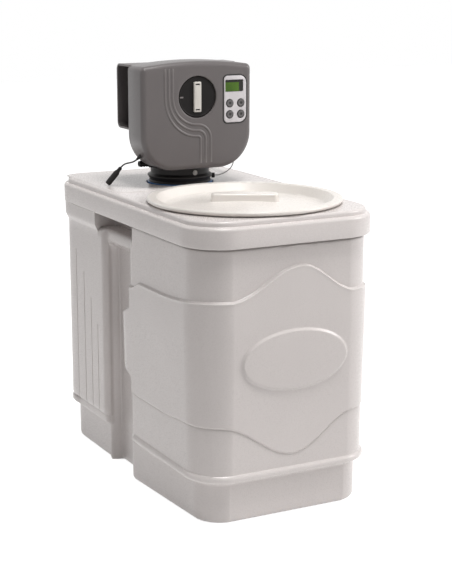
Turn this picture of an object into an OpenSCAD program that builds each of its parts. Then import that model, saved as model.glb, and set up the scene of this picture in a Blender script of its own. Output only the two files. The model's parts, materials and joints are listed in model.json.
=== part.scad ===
// Cabinet water softener: salt cabinet with a loose cover and lid, resin vessel,
// brine well and a camshaft control valve under a two-piece hood.
// Millimetres, +Z up, front faces -Y, origin on the floor under the cabinet's centre.

/* [Cabinet] */
// Width of the cover band
cabinet_w = 304; // [300:1:330]
// Depth of the cover band, front to back
cabinet_d = 546; // [540:1:580]
// Plan corner radius of the cover band
cabinet_r = 64; // [58:1:72]
// Height of the cover band's top edge above the floor
cabinet_h = 436; // [426:1:450]
// Wall of the cabinet body and the cover
cabinet_wall = 4; // [3:0.5:5]
// Thickness of the cabinet's floor
floor_t = 8; // [6:0.5:12]
// Height of the cover band
band_h = 30; // [26:1:36]
// Set-back of the body's wall behind the cover band
body_inset = 9; // [8:0.5:10]
// How far the belly between the wave lines stands out
belly_proud = 2; // [1:0.5:3]
// Height of the moulded bead above the floor
bead_z = 70; // [60:1:80]
// How far the bead stands out
bead_proud = 3.5; // [2:0.5:5]
// Set-back of the base below the bead
base_inset = 9; // [7:0.5:12]
// Radius of the base's bottom edge
base_edge_r = 12; // [8:1:16]

/* [Waves and badge] */
// Level of the upper wave line at the sides
upper_wave_z = 331; // [320:1:340]
// Rise of the upper wave at the front
upper_wave_rise = 45; // [30:1:55]
// Level of the lower wave line at the sides
lower_wave_z = 149; // [140:1:160]
// Drop of the lower wave at the front
lower_wave_drop = 53; // [40:1:58]
// Width of the oval badge
badge_w = 176; // [150:1:190]
// Height of the oval badge
badge_h = 92; // [80:1:100]
// Height of the badge's centre
badge_z = 237; // [232:1:242]
// How far the badge stands out of the belly
badge_proud = 2; // [1:0.5:3]

/* [Side channels and grips] */
// Front wall of each side channel, from the cabinet's centre
channel_front = -8; // [-20:1:0]
// Rear wall of each side channel
channel_rear = 76; // [66:1:86]
// Depth of the channel
channel_depth = 22; // [16:1:26]
// Length of the belly's tab across the channel
tab_len = 24; // [16:1:30]
// Depth of the hand grip over the channel
grip_depth = 31; // [26:1:32]
// Drop of the grip's sill below the band
grip_drop = 30; // [24:1:36]
// Height of the grip's mouth
grip_h = 36; // [30:1:38]
// Extra reach of the grip past each channel wall
grip_over = 21; // [12:1:24]
// Depth of the rear side grooves
groove_depth = 1.5; // [1:0.5:2]
// Width of the rear side grooves
groove_w = 3; // [2:0.5:4]

/* [Cover and lid] */
// Set-in of the cover's platform from the band
platform_inset = 7; // [5:0.5:10]
// Height of the platform over the band
platform_h = 8; // [5:0.5:9]
// Height of the rear deck over the platform
deck_h = 1; // [1:0.5:4]
// Margin between the band and the salt mouth
mouth_margin = 21; // [18:1:30]
// Web between the salt mouth and the neck hole
mouth_web = 22; // [16:1:30]
// Overhang of the lid's rim past the mouth
lid_overhang = 14.5; // [10:0.5:15]
// Thickness of the lid's rim
lid_rim_h = 6; // [5:0.5:8]
// Depth of the lid's dish
dish_depth = 12; // [10:0.5:16]
// Length of the lid's bar handle
handle_len = 100; // [80:1:120]
// Width of the bar handle
handle_w = 22; // [18:1:28]
// Turn of the lid's handle, seen from above
handle_turn = -27.5; // [-90:0.5:90]

/* [Vessel] */
// Outside radius of the resin vessel
vessel_r = 102; // [96:1:104]
// Wall of the resin vessel
vessel_wall = 3; // [2.5:0.5:4]
// Neck axis in front of the band's rear face
neck_back = 173; // [168:1:178]
// Outside radius of the vessel's neck
neck_r = 52; // [50:1:56]
// Bore radius of the vessel's neck
neck_bore_r = 31; // [29:1:34]
// Radius of the hole in the cover around the neck
neck_hole_r = 57; // [57:1:64]
// Outside radius of the riser tube
riser_r = 13.5; // [12:0.5:14.5]
// Height of the resin bed
bed_h = 240; // [180:1:260]

/* [Brine well] */
// Outside radius of the brine well
well_r = 33; // [32:1:35]
// Room between the brine well's top and the cabinet's rim
well_clear = 28; // [24:1:50]
// Outside radius of the float
float_r = 14; // [12:0.5:14]
// Travel of the float on its rod
float_travel = 150; // [100:1:180]
// Outside radius of the brine tube
tube_r = 4.75; // [4:0.25:5]
// Outside radius of the overflow spigot
overflow_r = 8; // [7:0.5:9]
// Drop of the overflow below the rear shoulder
overflow_drop = 50; // [40:1:70]

/* [Control head] */
// Width of the front hood
head_w = 190; // [186:1:200]
// Underside of the front hood over the cover's deck
head_clear = 27; // [25:1:32]
// Height of the front hood at its sides
head_h = 162; // [162:1:172]
// Crown of the hood's top
head_crown = 6; // [2:0.5:6]
// Radius of the hood's lower corners
head_low_r = 55; // [50:1:58]
// Radius of the hood's top corners
head_top_r = 8; // [6:1:12]
// Front face of the hood in front of the neck axis
head_front = 66; // [64:1:70]
// Depth of the front hood
front_depth = 52; // [50:1:56]
// Depth of the rear hood
rear_depth = 50; // [44:1:50]
// Height of the rear hood
rear_h = 101; // [98:1:104]
// Wall of both hoods
hood_wall = 3; // [2:0.5:3.5]
// Radius of the position knob
knob_r = 31.5; // [30:0.5:34]
// Height of the camshaft over the hood's underside
cam_rise = 113; // [111:1:116]
// Outside radius of the pipe ports
port_r = 16.6; // [15:0.1:17]
// Half distance between the pipe ports
port_x = 36; // [34:1:38]

/* [Control panel] */
// Width of the panel
panel_w = 39; // [38:0.5:40]
// Height of the panel
panel_h = 73; // [72:0.5:76]
// Centre of the panel, right of the knob
panel_x = 65.5; // [64:0.5:66]
// Radius of a key
key_r = 6.4; // [5:0.1:6.6]
// Spacing of the keys across
key_dx = 19.5; // [18:0.5:20]
// Spacing of the keys up
key_dz = 17.5; // [17:0.5:18]
// Travel of a key
key_travel = 1.2; // [0.8:0.1:1.4]

/* [Clearances] */
// Gap between parts that lift off or lie side by side
gap = 0.3; // [0.2:0.05:0.4]
// Radial clearance of a shaft in its bearing
run_gap = 0.06; // [0.03:0.01:0.1]
// Radial clearance of a key in its hole
key_gap = 0.1; // [0.06:0.02:0.2]

/* [Hidden] */
$fn = 96;
eps = 0.01;
over = 20;

// Levels and half sizes of the cabinet
band_z = cabinet_h - band_h;
body_w = cabinet_w - 2 * body_inset;
body_d = cabinet_d - 2 * body_inset;
body_r = cabinet_r - body_inset;
base_w = body_w - 2 * base_inset;
base_d = body_d - 2 * base_inset;
base_r = body_r - base_inset;
body_top = cabinet_h - cabinet_wall;
floor_z = floor_t;
inner_w = body_w - 2 * cabinet_wall;
inner_d = body_d - 2 * cabinet_wall;
inner_r = body_r - cabinet_wall;
grip_z = band_z - grip_drop;
shoulder_set = 1.5;
shoulder_w = cabinet_w - 2 * (shoulder_set + gap);
shoulder_d = cabinet_d - 2 * (shoulder_set + gap);
shoulder_z = grip_z + cabinet_wall;
overflow_z = shoulder_z - overflow_drop;
rim_h = 6;
bead_r = 5;
channel_x = body_w / 2 - channel_depth;
grip_x = body_w / 2 - grip_depth;
grip_front = channel_front - grip_over;
grip_rear = channel_rear + grip_over;
tab_z = [172, 262];
groove_back = [168, 142, 114, 82];
groove_y = [for (back = groove_back) cabinet_d / 2 - back];
groove_top = [225, 263, 300, 333];
groove_gap = 1;
groove_bottom = bead_z + bead_r + groove_gap;
wave_steps = 24;
upper_wave_x = 8;
upper_wave_half = 88;
lower_wave_x = -2;
lower_wave_half = 118;
badge_x = 4;

// Cover and lid: the mouth fits between the sides, and between the front and the neck
neck_y = cabinet_d / 2 - neck_back;
mouth_len = cabinet_d / 2 + neck_y - neck_hole_r - mouth_web - mouth_margin;
mouth_r = min(cabinet_w / 2 - mouth_margin, mouth_len / 2);
lid_y = mouth_margin + mouth_r - cabinet_d / 2;
platform_z = cabinet_h + platform_h;
platform_w = cabinet_w - 2 * platform_inset;
platform_d = cabinet_d - 2 * platform_inset;
platform_r = cabinet_r - platform_inset;
deck_z = platform_z + deck_h;
deck_gap = 4;
deck_front = lid_y + mouth_r + lid_overhang + deck_gap;
deck_inset = 5;
deck_r = 30;
edge_r = 4;
lid_r = mouth_r + lid_overhang;
rim_gap = 2;
lid_under = platform_z + rim_gap;
lid_top = lid_under + lid_rim_h;
lid_wall = 3;
skirt_gap = 3;
skirt_r = mouth_r - skirt_gap;
skirt_z = platform_z - cabinet_wall - 6;
lid_foot_r = mouth_r + 3;
lid_foot_w = 4;
dish_z = lid_top - dish_depth;
dish_set = 10;
dish_r = mouth_r - dish_set;
handle_proud = 5;
handle_top = lid_top + handle_proud;

// Vessel and what stands in it
neck_rise = 1;
neck_top = deck_z + neck_rise;
foot_z = floor_z;
foot_h = 26;
foot_floor = 12;
foot_in = 42;
foot_w = 36;
vessel_z = foot_z + foot_floor;
low_dome = 55;
top_dome = 74;
neck_len = 8;
dome_z = neck_top - neck_len - top_dome;
bed_z = vessel_z + vessel_wall + low_dome * 0.4;
riser_wall = 2;
riser_bore = riser_r - riser_wall;
riser_rise = 10;
riser_top = neck_top + riser_rise;
strainer_r = 20;
strainer_h = 40;
strainer_slot = 1.5;
strainer_end = 6;
ring_h = 3;
ring_t = 3;

// Tank adapter between the neck and the valve
adapter_low = neck_top;
adapter_wide_z = neck_top + 7;
adapter_gap = 2;
adapter_top = deck_z + head_clear - adapter_gap;
adapter_r = 45;
adapter_wide_r = 52;
adapter_bore = 20;
spigot_len = 20;
neck_seat = neck_r - 4;
collar_land = 2;
collar_slope = 7;
o_ring_r = 1.4;
o_ring_at = neck_bore_r - o_ring_r - gap / 2;
o_ring_z = adapter_low - 10;
o_groove = o_ring_r + 0.6;
clamp_x = 4;
clamp_z = adapter_top - 6;
clamp_r = 2.5;
clamp_len = 9;
clamp_head_r = 4;
clamp_head = 3;
clamp_slot = 1.2;
bridge_z = riser_top + 1;
bridge_w = 6;
bridge_t = 2.5;
turbine_z = bridge_z + 4;
turbine_h = 8;
turbine_pin_r = 2;
turbine_r = 12;
hub_r = 4.5;
blade_t = 1.5;
sensor_r = 4;
sensor_in = 6;
sensor_out = 4.6;

// Brine well in the rear right corner
well_wall = 2.5;
well_gap = 3;
well_corner = base_r - cabinet_wall;
well_shift = round(10 * ((well_corner - well_r - well_gap) * sqrt(0.5) - well_corner)) / 10;
well_x = base_w / 2 - cabinet_wall + well_shift;
well_y = base_d / 2 - cabinet_wall + well_shift;
well_top = body_top - well_clear;
well_h = well_top - floor_z;
float_off = 14;
float_x = well_x - float_off;
rod_r = 3;
tube_off = 16;
tube_x = well_x + tube_off;
valve_low = floor_z + 12;
valve_h = 26;
valve_seat = 8;
valve_gap = 3;
screen_r = well_r - well_wall - 8;
screen_wall = 3;
cap_t = 3;
cap_lip = 1.5;
cap_plug = 8;
rod_end = well_top - 3;
float_z = 150;
float_h = 40;
overflow_flange = 6;
overflow_x = inner_w / 2 - inner_r - overflow_r - overflow_flange - gap;
overflow_y = body_d / 2;
overflow_len = 32;
overflow_in = 14;
nut_t = 5;
flange_t = 4;
overflow_wall = 2.5;

// Control head
head_z = deck_z + head_clear;
head_top = head_z + head_h;
head_y = neck_y - head_front;
hood_y = head_y + front_depth;
hood_back = hood_y + rear_depth;
hood_z = head_top - rear_h;
cam_z = head_z + cam_rise;
plate_set = 24;
plate_y = head_y + plate_set;
plate_t = 3;
plate_rise = 33;
plate_low = head_z + plate_rise;
block_w = 116;
block_y = plate_y + plate_t;
block_reach = 42;
block_rise = 16;
block_h = 42;
port_rise = 40;
port_reach = 74;
block_back = neck_y + block_reach;
block_z = head_z + block_rise;
block_top = block_z + block_h;
port_z = head_z + port_rise;
port_back = neck_y + port_reach;
port_bore = 11;
port_flange = 3;
port_flange_t = 12;
riser_way = 17;
passage = [5, 8, 2];
top_t = 6;
top_z = block_top + top_t;
top_reach = 40;
top_back = hood_y + top_reach;

// Camshaft, gear train and flappers
shaft_r = 6;
shaft_end_r = 4;
shaft_set = 6;
shaft_front = head_y + shaft_set;
bracket_set = 32;
bracket_y = hood_y + bracket_set;
bracket_t = 4;
shaft_back = bracket_y + bracket_t;
lobe_r = 9;
lobe_tip = 12;
flapper_n = 5;
flapper_pitch = 9.6;
flapper_set = 10;
flapper_y = block_y + flapper_set;
flapper_t = 7;
flapper_x = 14;
pivot_rise = 5.5;
pivot_z = top_z + pivot_rise;
pivot_r = 1.5;
flapper_tip_x = 3;
lobe_gap = 2.2;
flapper_tip_z = cam_z - lobe_tip - lobe_gap;
disc_x = -16;
disc_r = 4.4;
seat_r = disc_r - 1.4;
ear_t = 3;
ear_half = 4;
bracket_half = 9;
lobe_w = 5;
lobe_nose_r = 5;
gear_module = 1;
tooth_at = [-0.30, -0.11, 0.11, 0.30];
tooth_h = [-1.2, 0.85, 0.85, -1.2];
gear_teeth = 60;
pinion_teeth = 15;
gear_set = 12;
gear_y = head_y + gear_set;
gear_t = 8;
mesh_gap = 0.15;
gear_dist = gear_module * (gear_teeth + pinion_teeth) / 2 + mesh_gap;
motor_r = 20;
motor_len = 22;
motor_shaft_r = 2;
motor_shaft_in = 9;
motor_terminal = [12, 5];

// Knob, panel, board and hood posts
knob_set = 2;
knob_y = head_y + knob_set;
knob_t = 4;
bar_w = 13;
bar_len = 47;
bar_proud = 5;
knob_hub_r = shaft_r + 4;
knob_gap = 0.8;
mark_len = 6;
mark_w = 2.4;
mark_deep = 1.5;
panel_rise = 107.5;
panel_z = head_z + panel_rise;
panel_r = 6;
panel_proud = 0.8;
panel_y = head_y - panel_proud;
panel_back = head_y + hood_wall;
window_w = 31.5;
window_h = 18.5;
window_off = [-1.8, 20.7];
window_x = panel_x + window_off[0];
window_z = panel_z + window_off[1];
key_drop = 15.2;
key_z = panel_z - key_drop;
key_proud = 1;
key_flange = 1.6;
key_flange_t = 1.4;
key_stem_r = 3;
key_stem_gap = 0.2;
window_set = 1;
window_t = 1.6;
display_set = 0.5;
board_set = 10;
board_y = head_y + board_set;
board_t = 1.6;
board_w = 46;
board_h = 84;
hood_corner = 10;
plate_room = 1;
notch_room = 1;
rear_set = 3;
strip_room = 4;
screw_in = 9;
screw_head = 2.5;
board_edge = 2.6;
post_r = 3.5;
screw_r = 1.7;
post_at = [[-84, 48], [84, 48], [-84, 146], [34, 152]];
board_post_r = 2.5;
board_post_x = board_w / 2 - board_edge;
board_post_z = board_h / 2 - board_edge;

// Fittings, grommets and cord ends
injector_r = 14;
injector_len = 14;
injector_plug_r = injector_r - 4;
injector_plug = 10;
drain_rise = 5;
drain_z = head_z + drain_rise;
drain_r = 4.5;
drain_len = 27;
drain_in = 14;
drain_bore = drain_r - 1.8;
drain_collar = 2.5;
drain_collar_t = 4.5;
barb_n = 3;
barb_pitch = 5;
barb_h = 0.8;
fitting_up = 8;
fitting_z = head_z + fitting_up;
fitting_r = 7;
fitting_in = 4;
fitting_out = 20;
fitting_pad = 6;
fitting_rise = 14;
brine_way = 3;
brine_way_up = 8;
fitting_back = 18;
fitting_y = neck_y + fitting_back;
bend_r = 25;
tube_bore = tube_r - 1.5;
tube_stop = 8;
tube_room = 1;
sensor_at = [0.95, -0.3];
lead_r = 1.3;
cable_r = 1;
cord_sides = 8;
gland_r = 3.2;
gland_len = 8;
gland_set = 32;
gland_y = head_y + gland_set;
lead_arc = 216.5;
meter_arc = -43;
meter_set = 44;
meter_y = head_y + meter_set;
meter_len = 5;
grommet_r = cable_r + 1.5;
lip_w = 1.5;
lip_t = 1;
plug_r = 4.7;
plug_len = 34;
plug_neck = 5;
socket_r = 2.8;
socket_len = 10;

// Route of the power lead, from its gland to the connector
lead_route = [
    [-90.6, 66, 489.4], [-92.7, 66.3, 487.9], [-94.4, 67.3, 486.7], [-95.8, 68.7, 485.7], [-97, 70.6, 484.9],
    [-98, 72.9, 484.2], [-98.8, 75.3, 483.6], [-99.6, 78, 483], [-100.3, 80.6, 482.3], [-100.9, 83.3, 481.6],
    [-101.7, 85.8, 480.7], [-102.5, 88.2, 479.6], [-103.5, 90.2, 478.3], [-104.6, 91.8, 476.7],
    [-106, 93, 474.7]
];
plug_dir = [-18.3, 10.4, -25.8];

// Route of the flow meter cable, from the sensor to its grommet
meter_route = [
    [54.2, 83, 453], [57.2, 82, 453], [60.2, 81.2, 453.2], [63.2, 80.6, 453.8], [66.2, 80.1, 454.7],
    [69.2, 79.7, 455.8], [72.2, 79.3, 457.2], [75.2, 79, 458.9], [78.2, 78.7, 460.9], [80.8, 78.5, 463.2],
    [83, 78.3, 465.9], [84.7, 78.2, 468.9], [85.8, 78.1, 472.2], [86.4, 78, 475.6], [86.6, 78, 479],
    [86.3, 78, 482.4], [85, 78, 485], [83.2, 78, 486.8]
];

// Plan and sweep shapes

module plan(w, d, r) {
    square([w - 2 * r, d], center = true);
    square([w, d - 2 * r], center = true);
    for (sx = [-1, 1], sy = [-1, 1])
        translate([sx * (w / 2 - r), sy * (d / 2 - r)])
            circle(r);
}

module slab(w, d, r, z0, z1) {
    translate([0, 0, z0])
        linear_extrude(z1 - z0)
            plan(w, d, r);
}

// A profile carried round a plan: x runs outwards from the plan's edge, y runs up
module round_plan(w, d, r) {
    for (turn = [0 : 90 : 270]) {
        along = turn % 180 == 0 ? d - 2 * r : w - 2 * r;
        out = turn % 180 == 0 ? w / 2 : d / 2;
        rotate([0, 0, turn])
            translate([out, along / 2, 0])
                rotate([90, 0, 0])
                    linear_extrude(along)
                        children();
    }
    for (sx = [0, 1], sy = [0, 1])
        mirror([sx, 0, 0])
            mirror([0, sy, 0])
                translate([w / 2 - r, d / 2 - r, 0])
                    rotate_extrude(angle = 90)
                        translate([r, 0])
                            children();
}

// The waste left outside a rounded edge: dir is 1 under the edge and -1 over it
module edge_waste(r, dir) {
    difference() {
        translate([-r, dir > 0 ? 0 : -r])
            square([r + 1, r]);
        translate([-r, dir * r])
            circle(r);
    }
}

module block(x0, x1, y0, y1, z0, z1) {
    translate([x0, y0, z0])
        cube([x1 - x0, y1 - y0, z1 - z0]);
}

module both_sides() {
    children();
    mirror([1, 0, 0])
        children();
}

module rod_y(r, y0, y1) {
    translate([0, y0, 0])
        rotate([-90, 0, 0])
            cylinder(h = y1 - y0, r = r);
}

module rod_x(r, x0, x1) {
    translate([x0, 0, 0])
        rotate([0, 90, 0])
            cylinder(h = x1 - x0, r = r);
}

// Turns +Z to point along v
module point_along(v) {
    rotate([0, acos(v[2] / norm(v)), atan2(v[1], v[0])])
        children();
}

// Draws an outline given in X and Z, and gives it depth along Y
module face_plate(y0, y1) {
    translate([0, y1, 0])
        rotate([90, 0, 0])
            linear_extrude(y1 - y0)
                children();
}

// Cords

function unit(v) = v / norm(v);
function heading(p, i) = unit(p[min(i + 1, len(p) - 1)] - p[max(i - 1, 0)]);
function cord_ring(p, i, r) =
    let (t = heading(p, i), a = unit(cross(t, [0, 1, 0.3])), b = cross(t, a))
    [for (k = [0 : cord_sides - 1])
        let (turn = 360 * k / cord_sides)
        p[i] + r * (cos(turn) * a + sin(turn) * b)];

module cord(p, r) {
    n = cord_sides;
    last = len(p) - 1;
    points = [for (i = [0 : last]) each cord_ring(p, i, r)];
    sides = [for (i = [0 : last - 1], k = [0 : n - 1], half = [0, 1])
        let (a = i * n + k, b = i * n + (k + 1) % n)
        half == 0 ? [a, b, a + n] : [b, b + n, a + n]];
    start = [for (k = [1 : n - 2]) [0, k + 1, k]];
    finish = [for (k = [1 : n - 2]) [last * n, last * n + k, last * n + k + 1]];
    polyhedron(points = points, faces = concat(start, sides, finish), convexity = 4);
}

// Cabinet

function bump(x, x0, half) = abs(x - x0) < half ? (1 + cos(180 * (x - x0) / half)) / 2 : 0;
function wave(x0, half, level, rise) =
    [for (i = [-wave_steps : wave_steps])
        let (x = x0 + half * i / wave_steps)
        [x, level + rise * bump(x, x0, half)]];

module belly_outline() {
    upper = wave(upper_wave_x, upper_wave_half, upper_wave_z, upper_wave_rise);
    lower = wave(lower_wave_x, lower_wave_half, lower_wave_z, -lower_wave_drop);
    reach = body_w;
    polygon(concat(
        [[-reach, upper_wave_z]], upper, [[reach, upper_wave_z], [reach, lower_wave_z]],
        [for (i = [len(lower) - 1 : -1 : 0]) lower[i]], [[-reach, lower_wave_z]]
    ));
}

module oval(w, h) {
    polygon([for (a = [0 : 5 : 355]) [w / 2 * cos(a), h / 2 * sin(a)]]);
}

module belly() {
    w = body_w + 2 * belly_proud;
    d = body_d + 2 * belly_proud;
    intersection() {
        slab(w, d, body_r + belly_proud, lower_wave_z - lower_wave_drop - 1,
             upper_wave_z + upper_wave_rise + 1);
        union() {
            face_plate(-d, channel_front)
                belly_outline();
            both_sides()
                block(0, w, channel_front - eps, channel_front + tab_len, tab_z[0], tab_z[1]);
        }
    }
    face_plate(-body_d / 2 - belly_proud - badge_proud, -body_d / 2 + 1)
        translate([badge_x, badge_z])
            oval(badge_w, badge_h);
}

module channel_cut(wall) {
    difference() {
        block(channel_x - wall, cabinet_w, channel_front - wall, channel_rear + wall, -over, grip_z + over);
        block(channel_x - over, cabinet_w, channel_front - over, channel_front + tab_len - wall,
              tab_z[0] + wall, tab_z[1] - wall);
    }
    block(grip_x - wall, cabinet_w, grip_front - wall, grip_rear + wall,
          grip_z - wall, grip_z + grip_h + wall);
}

module cabinet_outside() {
    slab(body_w, body_d, body_r, bead_z - bead_r, body_top);
    belly();
    slab(base_w, base_d, base_r, 0, bead_z);
    round_plan(body_w, body_d, body_r)
        translate([bead_proud - bead_r, bead_z])
            circle(bead_r);
    intersection() {
        slab(shoulder_w, shoulder_d, cabinet_r, shoulder_z, band_z - gap);
        block(-cabinet_w, cabinet_w, grip_rear, cabinet_d, 0, cabinet_h);
    }
    slab(cabinet_w - 2 * cabinet_wall - 2 * gap, cabinet_d - 2 * cabinet_wall - 2 * gap,
         cabinet_r - cabinet_wall - gap, body_top - rim_h, body_top);
}

module cabinet_body() {
    color([0.79, 0.77, 0.76])
        difference() {
            cabinet_outside();
            difference() {
                slab(inner_w, inner_d, inner_r, floor_z, cabinet_h);
                both_sides()
                    channel_cut(cabinet_wall);
                difference() {
                    block(-body_w, body_w, -body_d, body_d, 0, bead_z);
                    slab(base_w - 2 * cabinet_wall, base_d - 2 * cabinet_wall, base_r - cabinet_wall,
                         0, bead_z);
                }
            }
            both_sides()
                channel_cut(0);
            round_plan(base_w, base_d, base_r)
                edge_waste(base_edge_r, 1);
            both_sides()
                for (i = [0 : len(groove_y) - 1])
                    block(body_w / 2 - groove_depth, cabinet_w, groove_y[i] - groove_w / 2,
                          groove_y[i] + groove_w / 2, groove_bottom, groove_top[i]);
            translate([overflow_x, 0, overflow_z])
                rod_y(overflow_r + run_gap, well_y, cabinet_d);
        }
}

module cabinet_cover() {
    color([0.84, 0.83, 0.83])
        difference() {
            union() {
                slab(cabinet_w, cabinet_d, cabinet_r, band_z, cabinet_h);
                slab(platform_w, platform_d, platform_r, cabinet_h - eps, platform_z);
                deck_w = platform_w - 2 * deck_inset;
                deck_d = platform_d / 2 - deck_inset - deck_front;
                translate([0, deck_front + deck_d / 2, 0])
                    slab(deck_w, deck_d, deck_r, platform_z - eps, deck_z);
            }
            slab(cabinet_w - 2 * cabinet_wall, cabinet_d - 2 * cabinet_wall, cabinet_r - cabinet_wall,
                 band_z - 1, body_top);
            slab(platform_w - 2 * cabinet_wall, platform_d - 2 * cabinet_wall, platform_r - cabinet_wall,
                 band_z, platform_z - cabinet_wall);
            round_plan(cabinet_w, cabinet_d, cabinet_r)
                translate([0, cabinet_h])
                    edge_waste(edge_r, -1);
            round_plan(platform_w, platform_d, platform_r)
                translate([0, platform_z])
                    edge_waste(edge_r, -1);
            translate([0, lid_y, band_z])
                cylinder(h = band_h + over, r = mouth_r);
            translate([0, neck_y, band_z])
                cylinder(h = band_h + over, r = neck_hole_r);
            translate([tube_x, well_y, band_z])
                cylinder(h = band_h + over, r = tube_r + tube_room);
        }
}

module salt_lid() {
    color([0.94, 0.92, 0.89])
        translate([0, lid_y, 0]) {
            rotate_extrude() {
                translate([dish_r, lid_under])
                    square([lid_r - dish_r - lid_rim_h / 2, lid_rim_h]);
                translate([lid_r - lid_rim_h / 2, lid_under + lid_rim_h / 2])
                    circle(lid_rim_h / 2);
                translate([0, dish_z - lid_wall])
                    square([dish_r + lid_wall, lid_wall]);
                translate([dish_r, dish_z - lid_wall])
                    square([lid_wall, lid_top - dish_z + lid_wall]);
                translate([skirt_r - lid_wall, skirt_z])
                    square([lid_wall, lid_under - skirt_z + eps]);
                translate([lid_foot_r, platform_z + gap])
                    square([lid_foot_w, lid_under - platform_z]);
            }
            rotate([0, 0, handle_turn]) {
                reach = (handle_len - handle_w) / 2;
                block(-reach, reach, -handle_w / 2, handle_w / 2, dish_z - eps, handle_top);
                for (s = [-1, 1])
                    translate([s * reach, 0, dish_z - eps])
                        cylinder(h = handle_top - dish_z + eps, r = handle_w / 2);
            }
        }
}

// Vessel group

function dome(r, h, dir, steps) =
    [for (i = [0 : steps]) [r * cos(90 * i / steps), dir * h * sin(90 * i / steps)]];

module neck_ring() {
    color([0.1, 0.1, 0.1])
        translate([0, neck_y, neck_top - ring_h])
            difference() {
                cylinder(h = ring_h - gap, r = neck_r + ring_t);
                translate([0, 0, -1])
                    cylinder(h = ring_h + 2, r = neck_r + run_gap);
            }
}

module vessel_profile(inset) {
    r = vessel_r - inset;
    low_z = vessel_z + low_dome;
    low = dome(r, low_dome - inset, -1, 12);
    high = dome(r, top_dome - inset, 1, 16);
    polygon(concat(
        [for (i = [12 : -1 : 0]) [low[i][0], low_z + low[i][1]]],
        [for (p = high) [p[0], dome_z + p[1]]]
    ));
}

module resin_vessel() {
    color([0.2, 0.42, 0.62])
        translate([0, neck_y, 0])
            rotate_extrude()
                difference() {
                    union() {
                        vessel_profile(0);
                        translate([0, dome_z])
                            square([neck_r, neck_top - dome_z]);
                    }
                    vessel_profile(vessel_wall);
                    translate([0, dome_z])
                        square([neck_bore_r, neck_top]);
                    translate([-vessel_r, 0])
                        square([vessel_r, neck_top]);
                }
}

module vessel_foot() {
    color([0.12, 0.12, 0.12])
        translate([0, neck_y, 0])
            rotate_extrude()
                difference() {
                    translate([vessel_r - foot_in, foot_z])
                        square([foot_w, foot_h]);
                    vessel_profile(-run_gap);
                }
}

module resin_bed() {
    color([0.62, 0.42, 0.16])
        translate([0, neck_y, 0])
            rotate_extrude()
                difference() {
                    intersection() {
                        vessel_profile(vessel_wall + run_gap);
                        translate([0, bed_z])
                            square([vessel_r, bed_h]);
                    }
                    square([strainer_r + gap, bed_z + strainer_h]);
                    square([riser_r + gap, cabinet_h]);
                }
}

module riser_tube() {
    color([0.9, 0.9, 0.88])
        translate([0, neck_y, bed_z])
            difference() {
                cylinder(h = riser_top - bed_z, r = riser_r);
                translate([0, 0, -1])
                    cylinder(h = riser_top - bed_z + 2, r = riser_bore);
            }
}

module bottom_strainer() {
    slot_n = 12;
    slot_deep = 2;
    inner_r = vessel_r - vessel_wall;
    dome_rise = (low_dome - vessel_wall) * (1 - sqrt(1 - pow(strainer_r / inner_r, 2)));
    low = vessel_z + vessel_wall + dome_rise + gap;
    color([0.15, 0.15, 0.16])
        translate([0, neck_y, 0])
            difference() {
                translate([0, 0, low])
                    cylinder(h = bed_z + strainer_h - low, r = strainer_r);
                translate([0, 0, bed_z - eps])
                    cylinder(h = strainer_h + 1, r = riser_r + run_gap);
                for (i = [0 : slot_n - 1])
                    rotate([0, 0, 360 * i / slot_n])
                        translate([strainer_r - slot_deep, -strainer_slot / 2, bed_z + strainer_end])
                            cube([2 * slot_deep, strainer_slot, strainer_h - 2 * strainer_end]);
            }
}

module top_strainer() {
    basket_h = 30;
    basket_r = neck_bore_r - 4;
    slot_n = 16;
    slot_deep = 5;
    top = adapter_low - spigot_len;
    color([0.15, 0.15, 0.16])
        translate([0, neck_y, top - basket_h])
            difference() {
                cylinder(h = basket_h, r = basket_r);
                translate([0, 0, -1])
                    cylinder(h = basket_h + 2, r = riser_r + run_gap);
                for (i = [0 : slot_n - 1])
                    rotate([0, 0, 360 * i / slot_n])
                        translate([basket_r - slot_deep, -strainer_slot / 2, strainer_end])
                            cube([2 * slot_deep, strainer_slot, basket_h - 2 * strainer_end]);
            }
}

module tank_adapter() {
    pin_top = turbine_z + turbine_h + 2;
    color([0.12, 0.12, 0.12])
        translate([0, neck_y, 0]) {
            difference() {
                rotate_extrude()
                    difference() {
                        polygon([
                            [0, adapter_low - spigot_len], [neck_bore_r - run_gap, adapter_low - spigot_len],
                            [neck_bore_r - run_gap, adapter_low], [neck_seat, adapter_low],
                            [neck_seat, adapter_low + collar_land],
                            [adapter_wide_r, adapter_wide_z - collar_land],
                            [adapter_wide_r, adapter_wide_z + collar_land],
                            [adapter_r, adapter_wide_z + collar_slope],
                            [adapter_r, adapter_top], [0, adapter_top]
                        ]);
                        square([riser_r + run_gap, adapter_top + 1]);
                        translate([0, bridge_z - bridge_w])
                            square([adapter_bore, adapter_top]);
                        translate([o_ring_at - o_ring_r - run_gap, o_ring_z - o_groove])
                            square([2 * o_groove, 2 * o_groove]);
                    }
                translate([clamp_x, 0, clamp_z])
                    rod_y(clamp_r + run_gap, -adapter_r - 2, -adapter_r + clamp_len + 1);
            }
            block(-adapter_bore - 2, adapter_bore + 2, -bridge_w / 2, bridge_w / 2,
                  bridge_z, bridge_z + bridge_t);
            translate([0, 0, bridge_z + 1])
                cylinder(h = pin_top - bridge_z - 1, r = turbine_pin_r);
        }
}

module adapter_o_ring() {
    color([0.05, 0.05, 0.05])
        translate([0, neck_y, o_ring_z])
            rotate_extrude()
                translate([o_ring_at, 0])
                    circle(o_ring_r);
}

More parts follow.
